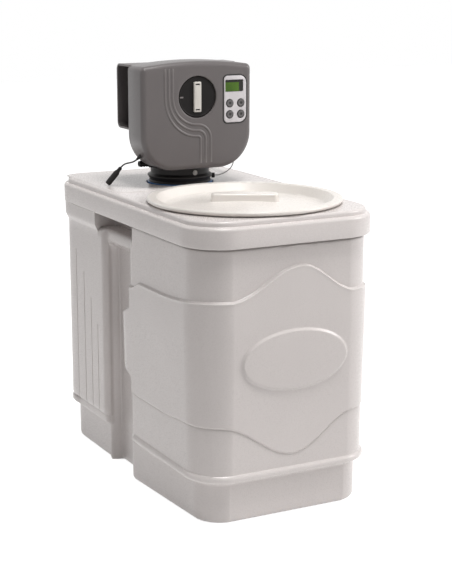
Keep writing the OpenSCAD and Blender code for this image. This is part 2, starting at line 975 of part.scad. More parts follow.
module adapter_screw() {
    color([0.6, 0.6, 0.6])
        translate([clamp_x, neck_y, clamp_z]) {
            rod_y(clamp_r, -adapter_r - 1, -adapter_r + clamp_len);
            difference() {
                rod_y(clamp_head_r, -adapter_r - clamp_head, -adapter_r);
                block(-over, over, -adapter_r - over, -adapter_r - clamp_head + 1,
                      -clamp_slot / 2, clamp_slot / 2);
            }
        }
}

module flow_turbine() {
    blade_n = 6;
    color([0.85, 0.85, 0.8])
        translate([0, neck_y, turbine_z])
            difference() {
                union() {
                    cylinder(h = turbine_h, r = hub_r);
                    for (i = [0 : blade_n - 1])
                        rotate([0, 0, 360 * i / blade_n])
                            translate([hub_r - 1, -blade_t / 2, 1])
                                cube([turbine_r - hub_r + 1, blade_t, turbine_h - 2]);
                }
                translate([0, 0, -1])
                    cylinder(h = turbine_h + 2, r = turbine_pin_r + run_gap);
            }
}

module flow_sensor() {
    turn = atan2(sensor_at[1], sensor_at[0]);
    color([0.14, 0.14, 0.14])
        translate([0, neck_y, adapter_wide_z])
            rotate([0, 0, turn])
                difference() {
                    rod_x(sensor_r, adapter_wide_r - sensor_in, adapter_wide_r + sensor_out);
                    translate([0, 0, -over])
                        cylinder(h = 2 * over, r = adapter_wide_r + run_gap);
                }
}

// Brine group

module brine_well() {
    slot_n = 8;
    slot_w = 4;
    slot_h = 40;
    slot_low = 6;
    color([0.88, 0.88, 0.86])
        translate([well_x, well_y, 0])
            difference() {
                translate([0, 0, floor_z])
                    cylinder(h = well_h, r = well_r);
                translate([0, 0, floor_z - 1])
                    cylinder(h = well_h + 2, r = well_r - well_wall);
                for (i = [0 : slot_n - 1])
                    rotate([0, 0, 360 * i / slot_n])
                        translate([well_r - 2 * well_wall, -slot_w / 2, floor_z + slot_low])
                            cube([4 * well_wall, slot_w, slot_h]);
                translate([overflow_x - well_x, 0, overflow_z])
                    rod_y(overflow_r + run_gap, 0, well_r + over);
            }
}

module brine_well_cap() {
    color([0.2, 0.2, 0.2])
        difference() {
            translate([well_x, well_y, well_top]) {
                cylinder(h = cap_t, r = well_r + cap_lip);
                translate([0, 0, -cap_plug])
                    cylinder(h = cap_plug + eps, r = well_r - well_wall - run_gap);
            }
            translate([tube_x, well_y, well_top - over])
                cylinder(h = 2 * over, r = tube_r + run_gap);
            translate([float_x, well_y, rod_end - over])
                cylinder(h = over, r = rod_r + run_gap);
        }
}

module brine_valve() {
    color([0.16, 0.16, 0.17])
        difference() {
            translate([well_x, well_y, valve_low])
                cylinder(h = valve_h, r = well_r - well_wall - valve_gap);
            translate([tube_x, well_y, valve_low + valve_seat])
                cylinder(h = valve_h, r = tube_r + run_gap);
            translate([float_x, well_y, valve_low + valve_seat])
                cylinder(h = valve_h, r = rod_r + run_gap);
            translate([tube_x, well_y, valve_low - 1])
                cylinder(h = valve_h, r = tube_bore);
        }
}

module pickup_screen() {
    color([0.75, 0.76, 0.74])
        difference() {
            translate([well_x, well_y, floor_z])
                cylinder(h = valve_low - floor_z, r = screen_r);
            translate([well_x, well_y, floor_z - 1])
                cylinder(h = valve_low - floor_z - screen_wall + 1, r = screen_r - screen_wall);
            translate([tube_x, well_y, floor_z])
                cylinder(h = valve_low, r = tube_bore);
        }
}

module float_rod() {
    low = valve_low + valve_seat;
    collar_t = 4;
    collar_r = rod_r + 3;
    float_high = float_z + float_h + float_travel + gap;
    color([0.85, 0.85, 0.85])
        translate([float_x, well_y, 0]) {
            translate([0, 0, low])
                cylinder(h = rod_end - low, r = rod_r);
            for (z = [float_z - gap - collar_t, float_high])
                translate([0, 0, z])
                    cylinder(h = collar_t, r = collar_r);
        }
}

module brine_float() {
    color([0.93, 0.93, 0.9])
        translate([float_x, well_y, float_z])
            difference() {
                cylinder(h = float_h, r = float_r);
                translate([0, 0, -1])
                    cylinder(h = float_h + 2, r = rod_r + run_gap);
            }
}

// Path of the brine tube: up the well, forward over the deck and across to the valve
module tube_run(r, low, end_x) {
    translate([tube_x, well_y, low])
        cylinder(h = fitting_z - bend_r - low, r = r);
    translate([tube_x, well_y - bend_r, fitting_z - bend_r])
        rotate([90, 0, 90])
            rotate_extrude(angle = 90)
                translate([bend_r, 0])
                    circle(r);
    translate([tube_x, 0, fitting_z])
        rod_y(r, fitting_y + bend_r, well_y - bend_r);
    translate([tube_x - bend_r, fitting_y + bend_r, fitting_z])
        rotate([0, 0, -90])
            rotate_extrude(angle = 90)
                translate([bend_r, 0])
                    circle(r);
    translate([0, fitting_y, fitting_z])
        rod_x(r, end_x, tube_x - bend_r);
}

module brine_tube() {
    low = valve_low + valve_seat;
    end_x = block_w / 2 + tube_stop;
    color([0.9, 0.9, 0.92])
        difference() {
            tube_run(tube_r, low, end_x);
            tube_run(tube_bore, low - 1, end_x - 1);
        }
}

module overflow_fitting() {
    color([0.88, 0.88, 0.87])
        translate([overflow_x, 0, overflow_z])
            difference() {
                union() {
                    rod_y(overflow_r, well_y + well_r - overflow_in, overflow_y + overflow_len);
                    rod_y(overflow_r + overflow_flange, overflow_y, overflow_y + flange_t);
                }
                rod_y(overflow_r - overflow_wall, well_y, overflow_y + overflow_len + 1);
            }
}

module overflow_nut() {
    color([0.8, 0.8, 0.8])
        translate([overflow_x, overflow_y - cabinet_wall - nut_t, overflow_z])
            rotate([-90, 0, 0])
                difference() {
                    cylinder(h = nut_t, r = overflow_r + overflow_flange, $fn = 6);
                    translate([0, 0, -1])
                        cylinder(h = nut_t + 2, r = overflow_r + run_gap);
                }
}

// Control valve

module valve_body() {
    color([0.16, 0.16, 0.17])
        difference() {
            union() {
                translate([0, neck_y, adapter_top])
                    cylinder(h = block_z - adapter_top + 1, r = adapter_r - 1);
                block(-block_w / 2, block_w / 2, block_y, block_back, block_z, block_top);
                both_sides()
                    translate([port_x, 0, port_z]) {
                        rod_y(port_r, block_back - 1, port_back);
                        rod_y(port_r + port_flange, block_back - 1, block_back + port_flange_t);
                    }
            }
            translate([0, neck_y, adapter_top - 1])
                cylinder(h = port_z - adapter_top, r = riser_way);
            both_sides() {
                translate([port_x, 0, port_z])
                    rod_y(port_bore, neck_y, port_back + 1);
                block(0, port_x, neck_y - passage[0], neck_y + passage[0],
                      port_z - passage[1], port_z - passage[2]);
            }
            for (i = [0 : flapper_n - 1])
                translate([disc_x, flapper_at(i), block_top - 10])
                    cylinder(h = over, r = seat_r);
            translate([-block_w / 2, neck_y, port_z])
                rod_x(injector_plug_r, -1, injector_plug + 2);
            translate([-adapter_r, neck_y, drain_z])
                rod_x(drain_r + run_gap, -1, drain_in + 2);
            translate([block_w / 2, fitting_y, block_z + brine_way_up])
                rod_x(brine_way, -over / 2, 1);
        }
}

function flapper_at(i) = flapper_y + flapper_pitch * i;

module valve_top_plate() {
    color([0.25, 0.25, 0.26])
        difference() {
            union() {
                block(-block_w / 2 + 2, block_w / 2 - 2, block_y + 2, top_back, block_top, top_z);
                block(-bracket_half, bracket_half, bracket_y, bracket_y + bracket_t,
                      top_z - eps, cam_z + bracket_half);
                for (y = [flapper_ear(0), flapper_ear(1)])
                    block(flapper_x - ear_half, flapper_x + ear_half, y, y + ear_t,
                          top_z - eps, pivot_z + ear_half);
            }
            translate([0, 0, cam_z])
                rod_y(shaft_end_r + run_gap, bracket_y - 1, bracket_y + bracket_t + 1);
            translate([flapper_x, 0, pivot_z])
                rod_y(pivot_r + run_gap, block_y, top_back);
            for (i = [0 : flapper_n - 1])
                translate([disc_x, flapper_at(i), block_top - 1])
                    cylinder(h = top_t + 2, r = seat_r);
        }
}

function flapper_ear(i) =
    i == 0 ? flapper_at(0) - flapper_t / 2 - gap - ear_t : flapper_at(flapper_n - 1) + flapper_t / 2 + gap;

module flapper_pin() {
    color([0.75, 0.75, 0.77])
        translate([flapper_x, 0, pivot_z])
            rod_y(pivot_r, flapper_ear(0), flapper_ear(1) + ear_t);
}

module flapper(i) {
    arm = 2.5;
    color([0.85, 0.83, 0.78])
        translate([0, flapper_at(i), 0])
            difference() {
                union() {
                    translate([flapper_x, 0, pivot_z])
                        rod_y(pivot_r + 2, -flapper_t / 2, flapper_t / 2);
                    face_plate(-flapper_t / 2 + 1, flapper_t / 2 - 1)
                        polygon([
                            [flapper_x - 1, pivot_z], [flapper_x + 3, pivot_z],
                            [flapper_tip_x + 2, flapper_tip_z], [flapper_tip_x - 1, flapper_tip_z]
                        ]);
                    block(disc_x, flapper_x, -arm / 2, arm / 2, top_z + 2.6, top_z + 5);
                    translate([disc_x, 0, top_z + gap])
                        cylinder(h = 3, r = disc_r);
                }
                translate([flapper_x, 0, pivot_z])
                    rod_y(pivot_r + run_gap, -flapper_t, flapper_t);
            }
}

module camshaft() {
    color([0.88, 0.86, 0.8])
        translate([0, 0, cam_z]) {
            rod_y(shaft_r, shaft_front, bracket_y - 1);
            rod_y(shaft_end_r, bracket_y - 2, shaft_back);
            for (i = [0 : flapper_n - 1])
                translate([0, flapper_at(i), 0])
                    rotate([0, 360 * i / flapper_n, 0]) {
                        rod_y(lobe_r, -lobe_w / 2, lobe_w / 2);
                        translate([lobe_tip - lobe_nose_r, 0, 0])
                            rod_y(lobe_nose_r, -lobe_w / 2, lobe_w / 2);
                    }
        }
}

// Toothed wheel outline: tooth 0 is centred on +X
module gear_outline(teeth) {
    pitch_r = gear_module * teeth / 2;
    step = 360 / teeth;
    polygon([for (i = [0 : teeth - 1], k = [0 : 3])
        let (a = step * (i + tooth_at[k]), r = pitch_r + gear_module * tooth_h[k])
        [r * cos(a), r * sin(a)]]);
}

module camshaft_gear() {
    color([0.9, 0.88, 0.8])
        translate([0, 0, cam_z])
            difference() {
                face_plate(gear_y, gear_y + gear_t)
                    gear_outline(gear_teeth);
                rod_y(shaft_r + run_gap / 2, gear_y - 1, gear_y + gear_t + 1);
            }
}

module position_knob() {
    color([0.13, 0.12, 0.12])
        translate([0, 0, cam_z])
            difference() {
                union() {
                    rod_y(knob_r, knob_y, knob_y + knob_t);
                    rod_y(knob_hub_r, knob_y, gear_y);
                }
                rod_y(shaft_r + run_gap / 2, shaft_front, gear_y + 1);
                block(-knob_r - 1, -knob_r + mark_len, knob_y - 1, knob_y + mark_deep,
                      -mark_w / 2, mark_w / 2);
            }
}

module knob_bar() {
    slot_w = 6;
    slot_h = 1.6;
    slot_deep = 2;
    slot_at = bar_len / 2 - 4;
    color([0.8, 0.79, 0.77])
        translate([0, 0, cam_z])
            difference() {
                block(-bar_w / 2, bar_w / 2, knob_y - bar_proud, knob_y, -bar_len / 2, bar_len / 2);
                for (s = [-1, 1])
                    block(-slot_w / 2, slot_w / 2, knob_y - bar_proud - 1, knob_y - bar_proud + slot_deep,
                          s * slot_at - slot_h / 2, s * slot_at + slot_h / 2);
            }
}

// Outline of the front hood in X and Z, drawn in by the given amount
module hood_outline(inset) {
    half = head_w / 2 - inset;
    low_r = head_low_r - inset;
    top_r = max(head_top_r - inset, 2);
    low_z = head_z + inset;
    side_top = head_top - inset;
    flat = half - top_r;
    crown_r = (flat * flat + head_crown * head_crown) / (2 * head_crown);
    translate([-(half - low_r), low_z])
        square([2 * (half - low_r), low_r + 1]);
    translate([-half, low_z + low_r])
        square([2 * half, side_top - top_r - low_z - low_r]);
    translate([-flat, side_top - top_r - 1])
        square([2 * flat, top_r + 1]);
    for (s = [-1, 1]) {
        translate([s * (half - low_r), low_z + low_r])
            circle(low_r);
        translate([s * flat, side_top - top_r])
            circle(top_r);
    }
    intersection() {
        translate([0, side_top + head_crown - crown_r])
            circle(crown_r, $fn = 360);
        translate([-flat, side_top - 2])
            square([2 * flat, head_crown + 3]);
    }
}

module motor_plate() {
    color([0.7, 0.7, 0.72])
        difference() {
            intersection() {
                face_plate(plate_y, plate_y + plate_t)
                    hood_outline(hood_wall + plate_room);
                block(-head_w, head_w, 0, hood_back, plate_low, head_top + over);
            }
            translate([0, 0, cam_z]) {
                rod_y(shaft_r + run_gap, plate_y - 1, plate_y + plate_t + 1);
                translate([-gear_dist, 0, 0])
                    rod_y(motor_shaft_r + run_gap, plate_y - 1, plate_y + plate_t + 1);
            }
            for (p = post_at)
                translate([p[0], 0, head_z + p[1]])
                    rod_y(screw_r + run_gap, plate_y - 1, plate_y + plate_t + 1);
        }
}

module drive_motor() {
    y0 = plate_y + plate_t;
    color([0.72, 0.72, 0.74])
        translate([-gear_dist, 0, cam_z])
            difference() {
                union() {
                    rod_y(motor_r, y0, y0 + motor_len);
                    block(-motor_terminal[0] / 2, motor_terminal[0] / 2, y0 + 4, y0 + motor_len - 2,
                          motor_r - 2, motor_r + motor_terminal[1]);
                }
                rod_y(motor_shaft_r + run_gap, y0 - 1, y0 + motor_shaft_in + 1);
            }
}

module motor_pinion() {
    color([0.86, 0.78, 0.5])
        translate([-gear_dist, 0, cam_z]) {
            face_plate(gear_y, gear_y + gear_t)
                rotate(180 / pinion_teeth)
                    gear_outline(pinion_teeth);
            rod_y(motor_shaft_r, gear_y + gear_t - eps, plate_y + plate_t + motor_shaft_in);
        }
}

module panel_outline(grow) {
    w = panel_w + 2 * grow;
    h = panel_h + 2 * grow;
    translate([panel_x, panel_z])
        plan(w, h, panel_r + grow);
}

module front_hood() {
    notch_r = adapter_r + notch_room;
    color([0.42, 0.4, 0.4])
        difference() {
            union() {
                difference() {
                    face_plate(head_y, hood_y)
                        hood_outline(0);
                    face_plate(head_y + hood_wall, hood_y + 1)
                        hood_outline(hood_wall);
                }
                for (p = post_at)
                    translate([p[0], 0, head_z + p[1]])
                        rod_y(post_r, head_y + hood_wall - eps, plate_y);
                for (sx = [-1, 1], sz = [-1, 1])
                    translate([panel_x + sx * board_post_x, 0, panel_z + sz * board_post_z])
                        rod_y(board_post_r, head_y + hood_wall - eps, board_y);
            }
            for (p = post_at)
                translate([p[0], 0, head_z + p[1]])
                    rod_y(screw_r + run_gap, plate_y - screw_in - 1, plate_y + 1);
            translate([0, 0, cam_z])
                rod_y(knob_r + knob_gap, head_y - 1, head_y + hood_wall + 1);
            face_plate(head_y - 1, head_y + hood_wall + 1)
                panel_outline(run_gap);
            translate([0, neck_y, head_z - 1])
                cylinder(h = head_low_r, r = notch_r);
            arc_point(-1, lead_arc, gland_y)
                translate([0, 0, -over / 2])
                    cylinder(h = over, r = gland_r + run_gap);
            arc_point(1, meter_arc, meter_y)
                translate([0, 0, -over / 2])
                    cylinder(h = over, r = grommet_r + run_gap);
        }
}

// Places children on a lower corner of the front hood, pointing out of its surface
module arc_point(side, angle, y) {
    x0 = side * (head_w / 2 - head_low_r);
    z0 = head_z + head_low_r;
    translate([x0 + head_low_r * cos(angle), y, z0 + head_low_r * sin(angle)])
        point_along([cos(angle), 0, sin(angle)])
            children();
}

module rear_hood() {
    half = head_w / 2 - rear_set;
    strip = block_w / 2 + strip_room;
    color([0.38, 0.36, 0.36])
        difference() {
            translate([-half, 0, 0])
                rotate([90, 0, 90])
                    linear_extrude(2 * half)
                        difference() {
                            hood_section(0);
                            hood_section(hood_wall);
                        }
            block(-strip, strip, 0, hood_back - hood_wall, 0, hood_z + hood_wall + hood_corner);
        }
}

// Section of the rear hood in Y and Z: open towards the front
module hood_section(inset) {
    corner = hood_corner - inset;
    back = hood_back - inset;
    low = hood_z + inset;
    high = head_top - inset;
    translate([hood_y - (inset > 0 ? 1 : 0), low])
        square([back - corner - hood_y + (inset > 0 ? 1 : 0), high - low]);
    translate([back - corner - 1, low + corner])
        square([corner + 1, high - low - 2 * corner]);
    for (z = [low + corner, high - corner])
        translate([back - corner, z])
            circle(corner);
}

module hood_screws() {
    color([0.6, 0.6, 0.62])
        for (p = post_at)
            translate([p[0], 0, head_z + p[1]]) {
                rod_y(screw_r, plate_y - screw_in, plate_y + plate_t + eps);
                rod_y(post_r, plate_y + plate_t, plate_y + plate_t + screw_head);
            }
}

// Control panel

module control_panel() {
    color([0.8, 0.79, 0.8])
        difference() {
            face_plate(panel_y, panel_back)
                panel_outline(0);
            face_plate(panel_y - 1, panel_back + 1)
                translate([window_x, window_z])
                    square([window_w, window_h], center = true);
            for (i = [0 : 3])
                translate([key_x(i), 0, key_up(i)])
                    rod_y(key_r + key_gap, panel_y - 1, panel_back + 1);
        }
}

function key_x(i) = panel_x + key_dx * (i % 2 - 0.5);
function key_up(i) = key_z + key_dz * (0.5 - floor(i / 2));

module display_window() {
    color([0.3, 0.42, 0.2, 0.5])
        face_plate(panel_y + window_set, panel_y + window_set + window_t)
            translate([window_x, window_z])
                square([window_w - 2 * run_gap, window_h - 2 * run_gap], center = true);
}

module display_module() {
    color([0.3, 0.44, 0.16])
        face_plate(panel_y + window_set + window_t + run_gap, board_y)
            translate([window_x, window_z])
                square([window_w - 2 * display_set, window_h - 2 * display_set], center = true);
}

module control_board() {
    color([0.1, 0.35, 0.2])
        face_plate(board_y, board_y + board_t)
            translate([panel_x, panel_z])
                square([board_w, board_h], center = true);
}

module key(i) {
    flange_y = panel_back + gap;
    color([0.35, 0.35, 0.37])
        translate([key_x(i), 0, key_up(i)]) {
            rod_y(key_r, panel_y - key_proud, flange_y + eps);
            rod_y(key_r + key_flange, flange_y, flange_y + key_flange_t);
            rod_y(key_stem_r, flange_y + key_flange_t - eps, board_y - key_travel - key_stem_gap);
        }
}

// Fittings and cords

module injector_cap() {
    color([0.14, 0.14, 0.14])
        translate([-block_w / 2, neck_y, port_z]) {
            rod_x(injector_r, -injector_len, 0);
            rod_x(injector_plug_r - run_gap, -eps, injector_plug);
        }
}

module drain_fitting() {
    color([0.1, 0.1, 0.1])
        translate([-adapter_r, neck_y, drain_z])
            difference() {
                union() {
                    rod_x(drain_r, -drain_len, drain_in);
                    for (i = [1 : barb_n])
                        rod_x(drain_r + barb_h, barb_pitch * i - drain_len - 2, barb_pitch * i - drain_len);
                    rod_x(drain_r + drain_collar, -2 * drain_collar_t, -drain_collar_t);
                }
                rod_x(drain_bore, -drain_len - 1, drain_in - 2);
            }
}

module brine_fitting() {
    color([0.14, 0.14, 0.14])
        difference() {
            union() {
                translate([0, fitting_y, fitting_z])
                    rod_x(fitting_r, block_w / 2 - fitting_in, block_w / 2 + fitting_out);
                block(block_w / 2 - fitting_in, block_w / 2 + fitting_pad, fitting_y - fitting_r,
                      fitting_y + fitting_r, fitting_z, block_z + fitting_rise);
            }
            translate([0, fitting_y, fitting_z])
                rod_x(tube_r + run_gap, block_w / 2 + tube_stop - eps, block_w / 2 + fitting_out + 1);
            block(0, block_w / 2, neck_y, block_back, block_z - run_gap, block_top);
            translate([0, fitting_y, fitting_z])
                rod_x(tube_bore, block_w / 2 + 1, block_w / 2 + fitting_out + 1);
        }
}

module meter_grommet() {
    color([0.1, 0.1, 0.1])
        arc_point(1, meter_arc, meter_y)
            translate([0, 0, -hood_wall - gap - lip_t])
                difference() {
                    union() {
                        cylinder(h = hood_wall + gap + meter_len, r = grommet_r);
                        cylinder(h = lip_t, r = grommet_r + lip_w);
                    }
                    translate([0, 0, -1])
                        cylinder(h = 3, r = cable_r);
                }
}

module meter_cable() {
    color([0.55, 0.55, 0.56])
        cord(meter_route, cable_r);
}

module lead_gland() {
    color([0.08, 0.08, 0.08])
        arc_point(-1, lead_arc, gland_y)
            translate([0, 0, -hood_wall - gap - lip_t]) {
                cylinder(h = hood_wall + gap + lip_t, r = gland_r);
                cylinder(h = lip_t, r = gland_r + lip_w);
                translate([0, 0, hood_wall + gap + lip_t - eps])
                    cylinder(h = gland_len, r1 = gland_r, r2 = lead_r + 0.5);
            }
}

module power_lead() {
    color([0.08, 0.08, 0.08])
        cord(lead_route, lead_r);
}

module lead_connector() {
    color([0.09, 0.09, 0.09])
        translate(lead_route[len(lead_route) - 1])
            point_along(plug_dir)
                difference() {
                    union() {
                        cylinder(h = plug_neck + eps, r1 = lead_r + 1, r2 = plug_r);
                        translate([0, 0, plug_neck])
                            cylinder(h = plug_len - plug_neck, r = plug_r);
                    }
                    translate([0, 0, plug_len - socket_len])
                        cylinder(h = socket_len + 1, r = socket_r);
                }
}

cabinet_body();
cabinet_cover();
salt_lid();
neck_ring();
resin_vessel();
vessel_foot();
resin_bed();
riser_tube();
bottom_strainer();
top_strainer();
tank_adapter();
adapter_o_ring();
adapter_screw();
flow_turbine();
flow_sensor();
brine_well();
brine_well_cap();
brine_valve();
pickup_screen();
float_rod();
brine_float();
brine_tube();
overflow_fitting();
overflow_nut();
valve_body();
valve_top_plate();
flapper_pin();
flapper(0);  // flapper_1
flapper(1);  // flapper_2
flapper(2);  // flapper_3
flapper(3);  // flapper_4
flapper(4);  // flapper_5
camshaft();
camshaft_gear();
position_knob();
knob_bar();
motor_plate();
drive_motor();
motor_pinion();
front_hood();
rear_hood();
hood_screws();
control_panel();
display_module();
display_window();
control_board();
key(0);  // key_1
key(1);  // key_2
key(2);  // key_3
key(3);  // key_4
injector_cap();
drain_fitting();
brine_fitting();
meter_grommet();
meter_cable();
lead_gland();
power_lead();
lead_connector();
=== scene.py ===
import json
import math
import bmesh
import bpy
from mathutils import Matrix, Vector
from mathutils.geometry import tessellate_polygon


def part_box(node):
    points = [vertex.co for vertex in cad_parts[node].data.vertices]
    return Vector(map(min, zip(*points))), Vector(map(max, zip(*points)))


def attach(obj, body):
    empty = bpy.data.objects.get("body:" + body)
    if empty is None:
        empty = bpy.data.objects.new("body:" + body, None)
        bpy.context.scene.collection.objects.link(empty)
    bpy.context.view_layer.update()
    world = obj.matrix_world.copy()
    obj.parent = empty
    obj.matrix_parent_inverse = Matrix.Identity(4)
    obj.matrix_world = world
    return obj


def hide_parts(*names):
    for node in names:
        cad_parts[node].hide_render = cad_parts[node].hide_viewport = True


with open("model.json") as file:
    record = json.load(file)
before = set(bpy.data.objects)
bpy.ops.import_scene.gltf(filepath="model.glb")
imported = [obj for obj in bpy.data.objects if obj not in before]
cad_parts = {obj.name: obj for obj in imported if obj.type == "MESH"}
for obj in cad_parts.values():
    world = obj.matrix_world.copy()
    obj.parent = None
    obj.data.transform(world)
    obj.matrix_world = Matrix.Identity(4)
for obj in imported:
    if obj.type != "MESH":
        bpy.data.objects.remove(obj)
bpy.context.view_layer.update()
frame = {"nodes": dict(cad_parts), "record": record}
cadNodes = frame["nodes"]
mm = 0.001
print("frame loaded:", len(cadNodes), "nodes")

# The main sizes come from the frame, in millimetres
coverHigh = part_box("cabinet_cover")[1] / mm
halfWidth = coverHigh.x
halfDepth = coverHigh.y
neckY = sum(v.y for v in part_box("tank_adapter")) / 2 / mm
lidY = sum(v.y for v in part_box("salt_lid")) / 2 / mm
hoodLow, hoodHigh = [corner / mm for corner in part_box("front_hood")]

# Camera at the photograph's viewing angle
camera = {
    "place": (-1.02197, -2.01404, 0.79927),
    "back": (-0.4519, -0.8638, 0.2236),
    "focalPixels": 1467.25,
    "imageHeight": 584,
    "sensor": 36.0,
    "farthest": 50.0,
}


def addCamera(cam):
    data = bpy.data.cameras.new("viewCamera")
    data.sensor_fit = "VERTICAL"
    data.sensor_height = cam["sensor"]
    data.lens = cam["sensor"] * cam["focalPixels"] / cam["imageHeight"]
    data.clip_end = cam["farthest"]
    eye = bpy.data.objects.new("viewCamera", data)
    eye.location = cam["place"]
    eye.rotation_euler = (-Vector(cam["back"])).to_track_quat("-Z", "Y").to_euler()
    bpy.context.scene.collection.objects.link(eye)
    bpy.context.scene.camera = eye


addCamera(camera)

# Cords: the short power lead and the flow meter cable, on the routes of the model
leadCord = {
    "diameter": 2.6,
    "route": [
        (-90.6, 66, 489.4), (-92.7, 66.3, 487.9), (-94.4, 67.3, 486.7), (-95.8, 68.7, 485.7),
        (-97, 70.6, 484.9), (-98, 72.9, 484.2), (-98.8, 75.3, 483.6), (-99.6, 78, 483),
        (-100.3, 80.6, 482.3), (-100.9, 83.3, 481.6), (-101.7, 85.8, 480.7), (-102.5, 88.2, 479.6),
        (-103.5, 90.2, 478.3), (-104.6, 91.8, 476.7), (-106, 93, 474.7),
    ],
    "plugWay": (-18.3, 10.4, -25.8),
}
meterCord = {
    "diameter": 2.0,
    "route": [
        (54.2, 83, 453), (57.2, 82, 453), (60.2, 81.2, 453.2), (63.2, 80.6, 453.8), (66.2, 80.1, 454.7),
        (69.2, 79.7, 455.8), (72.2, 79.3, 457.2), (75.2, 79, 458.9), (78.2, 78.7, 460.9), (80.8, 78.5, 463.2),
        (83, 78.3, 465.9), (84.7, 78.2, 468.9), (85.8, 78.1, 472.2), (86.4, 78, 475.6), (86.6, 78, 479),
        (86.3, 78, 482.4), (85, 78, 485), (83.2, 78, 486.8),
    ],
}


def routeLength(route):
    return sum((Vector(b) - Vector(a)).length for a, b in zip(route, route[1:])) * mm


def addCord(name, cord, node):
    curve = bpy.data.curves.new(name, "CURVE")
    curve.dimensions = "3D"
    curve.bevel_depth = 1.0  # each point's radius is the tube's
    curve.bevel_resolution = 6
    curve.use_fill_caps = True
    spline = curve.splines.new("POLY")
    spline.points.add(len(cord["route"]) - 1)
    for point, place in zip(spline.points, cord["route"]):
        point.co = (place[0] * mm, place[1] * mm, place[2] * mm, 1)
        point.radius = cord["diameter"] / 2 * mm
    piece = bpy.data.objects.new(name, curve)
    bpy.context.scene.collection.objects.link(piece)
    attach(piece, "cabinet")
    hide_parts(node)
    return piece


leadPiece = addCord("short_lead", leadCord, "power_lead")
meterPiece = addCord("meter_wire", meterCord, "meter_cable")
print("cords laid:", round(routeLength(leadCord["route"]), 4), round(routeLength(meterCord["route"]), 4))


# Node helpers: a node with its sockets and settings, a list of links, and a group with its own sockets
def addNode(tree, kind, values=(), **settings):
    node = tree.nodes.new(kind)
    for name, value in settings.items():
        setattr(node, name, value)
    for socket, value in dict(values).items():
        node.inputs[socket].default_value = value
    return node


def wire(tree, *links):
    for source, output, target, socket in links:
        tree.links.new(source.outputs[output], target.inputs[socket])


def newTree(name, kind, inputs, outputs):
    tree = bpy.data.node_groups.new(name, kind)
    for label, socketKind, value in inputs:
        socket = tree.interface.new_socket(label, in_out="INPUT", socket_type=socketKind)
        if value is not None:
            socket.default_value = value
    for label, socketKind in outputs:
        tree.interface.new_socket(label, in_out="OUTPUT", socket_type=socketKind)
    return tree, tree.nodes.new("NodeGroupInput"), tree.nodes.new("NodeGroupOutput")


# Finishes: shared effects are node groups, each slot has its own material
def tone(red, green, blue):
    straight = [v / 255 for v in (red, green, blue)]
    return [v / 12.92 if v <= 0.04045 else ((v + 0.055) / 1.055) ** 2.4 for v in straight] + [1.0]


def makeMouldGrain():
    tree, given, result = newTree(
        "mouldGrain", "ShaderNodeTree",
        [("Scale", "NodeSocketFloat", 900.0), ("Waviness", "NodeSocketFloat", 0.3)],
        [("Height", "NodeSocketFloat"), ("Speck", "NodeSocketFloat")],
    )
    place = addNode(tree, "ShaderNodeTexCoord")
    fine = addNode(tree, "ShaderNodeTexNoise", {"Detail": 3.0})
    broad = addNode(tree, "ShaderNodeTexNoise", {"Scale": 22.0, "Detail": 1.0})
    height = addNode(tree, "ShaderNodeMath", operation="MULTIPLY_ADD")
    wire(
        tree,
        (place, "Object", fine, "Vector"),
        (place, "Object", broad, "Vector"),
        (given, "Scale", fine, "Scale"),
        (broad, "Fac", height, 0),
        (given, "Waviness", height, 1),
        (fine, "Fac", height, 2),
        (height, 0, result, "Height"),
        (fine, "Fac", result, "Speck"),
    )
    return tree


def makeToneDrift():
    tree, given, result = newTree(
        "toneDrift", "ShaderNodeTree",
        [
            ("Main", "NodeSocketColor", (0.5, 0.5, 0.5, 1)),
            ("Second", "NodeSocketColor", (0.45, 0.45, 0.45, 1)),
            ("Edge", "NodeSocketColor", (0.6, 0.6, 0.6, 1)),
            ("Scale", "NodeSocketFloat", 6.0),
            ("Edge Amount", "NodeSocketFloat", 0.3),
        ],
        [("Colour", "NodeSocketColor")],
    )
    place = addNode(tree, "ShaderNodeTexCoord")
    cloud = addNode(tree, "ShaderNodeTexNoise", {"Detail": 4.0})
    spread = addNode(tree, "ShaderNodeMapRange", {"From Min": 0.35, "From Max": 0.65})
    blend = addNode(tree, "ShaderNodeMix", data_type="RGBA")
    # convex edges, found by pointiness, blend toward the Edge colour: a painted highlight along edges, partly
    # wear
    shape = addNode(tree, "ShaderNodeNewGeometry")
    edge = addNode(tree, "ShaderNodeMapRange", {"From Min": 0.52, "From Max": 0.62})
    amount = addNode(tree, "ShaderNodeMath", operation="MULTIPLY")
    edgeWearAndHighlight = addNode(tree, "ShaderNodeMix", data_type="RGBA")
    wire(
        tree,
        (place, "Object", cloud, "Vector"),
        (given, "Scale", cloud, "Scale"),
        (cloud, "Fac", spread, "Value"),
        (spread, "Result", blend, "Factor"),
        (given, "Main", blend, 6),
        (given, "Second", blend, 7),
        (shape, "Pointiness", edge, "Value"),
        (edge, "Result", amount, 0),
        (given, "Edge Amount", amount, 1),
        (amount, 0, edgeWearAndHighlight, "Factor"),
        (blend, 2, edgeWearAndHighlight, 6),
        (given, "Edge", edgeWearAndHighlight, 7),
        (edgeWearAndHighlight, 2, result, "Colour"),
    )
    return tree


mouldGrain = makeMouldGrain()
toneDrift = makeToneDrift()

# What a look leaves out is taken from here
plainLook = {
    "secondShare": 0.95, "edgeShare": 1.1, "driftScale": 6.0, "edgeAmount": 0.3, "grainScale": 900.0,
    "roughSpread": 0.05, "bump": 0.1, "bumpDepth": 0.4, "sockets": {},
}


def shadeOf(colour, share):
    return [min(1, v * share) for v in colour[:3]] + [1]


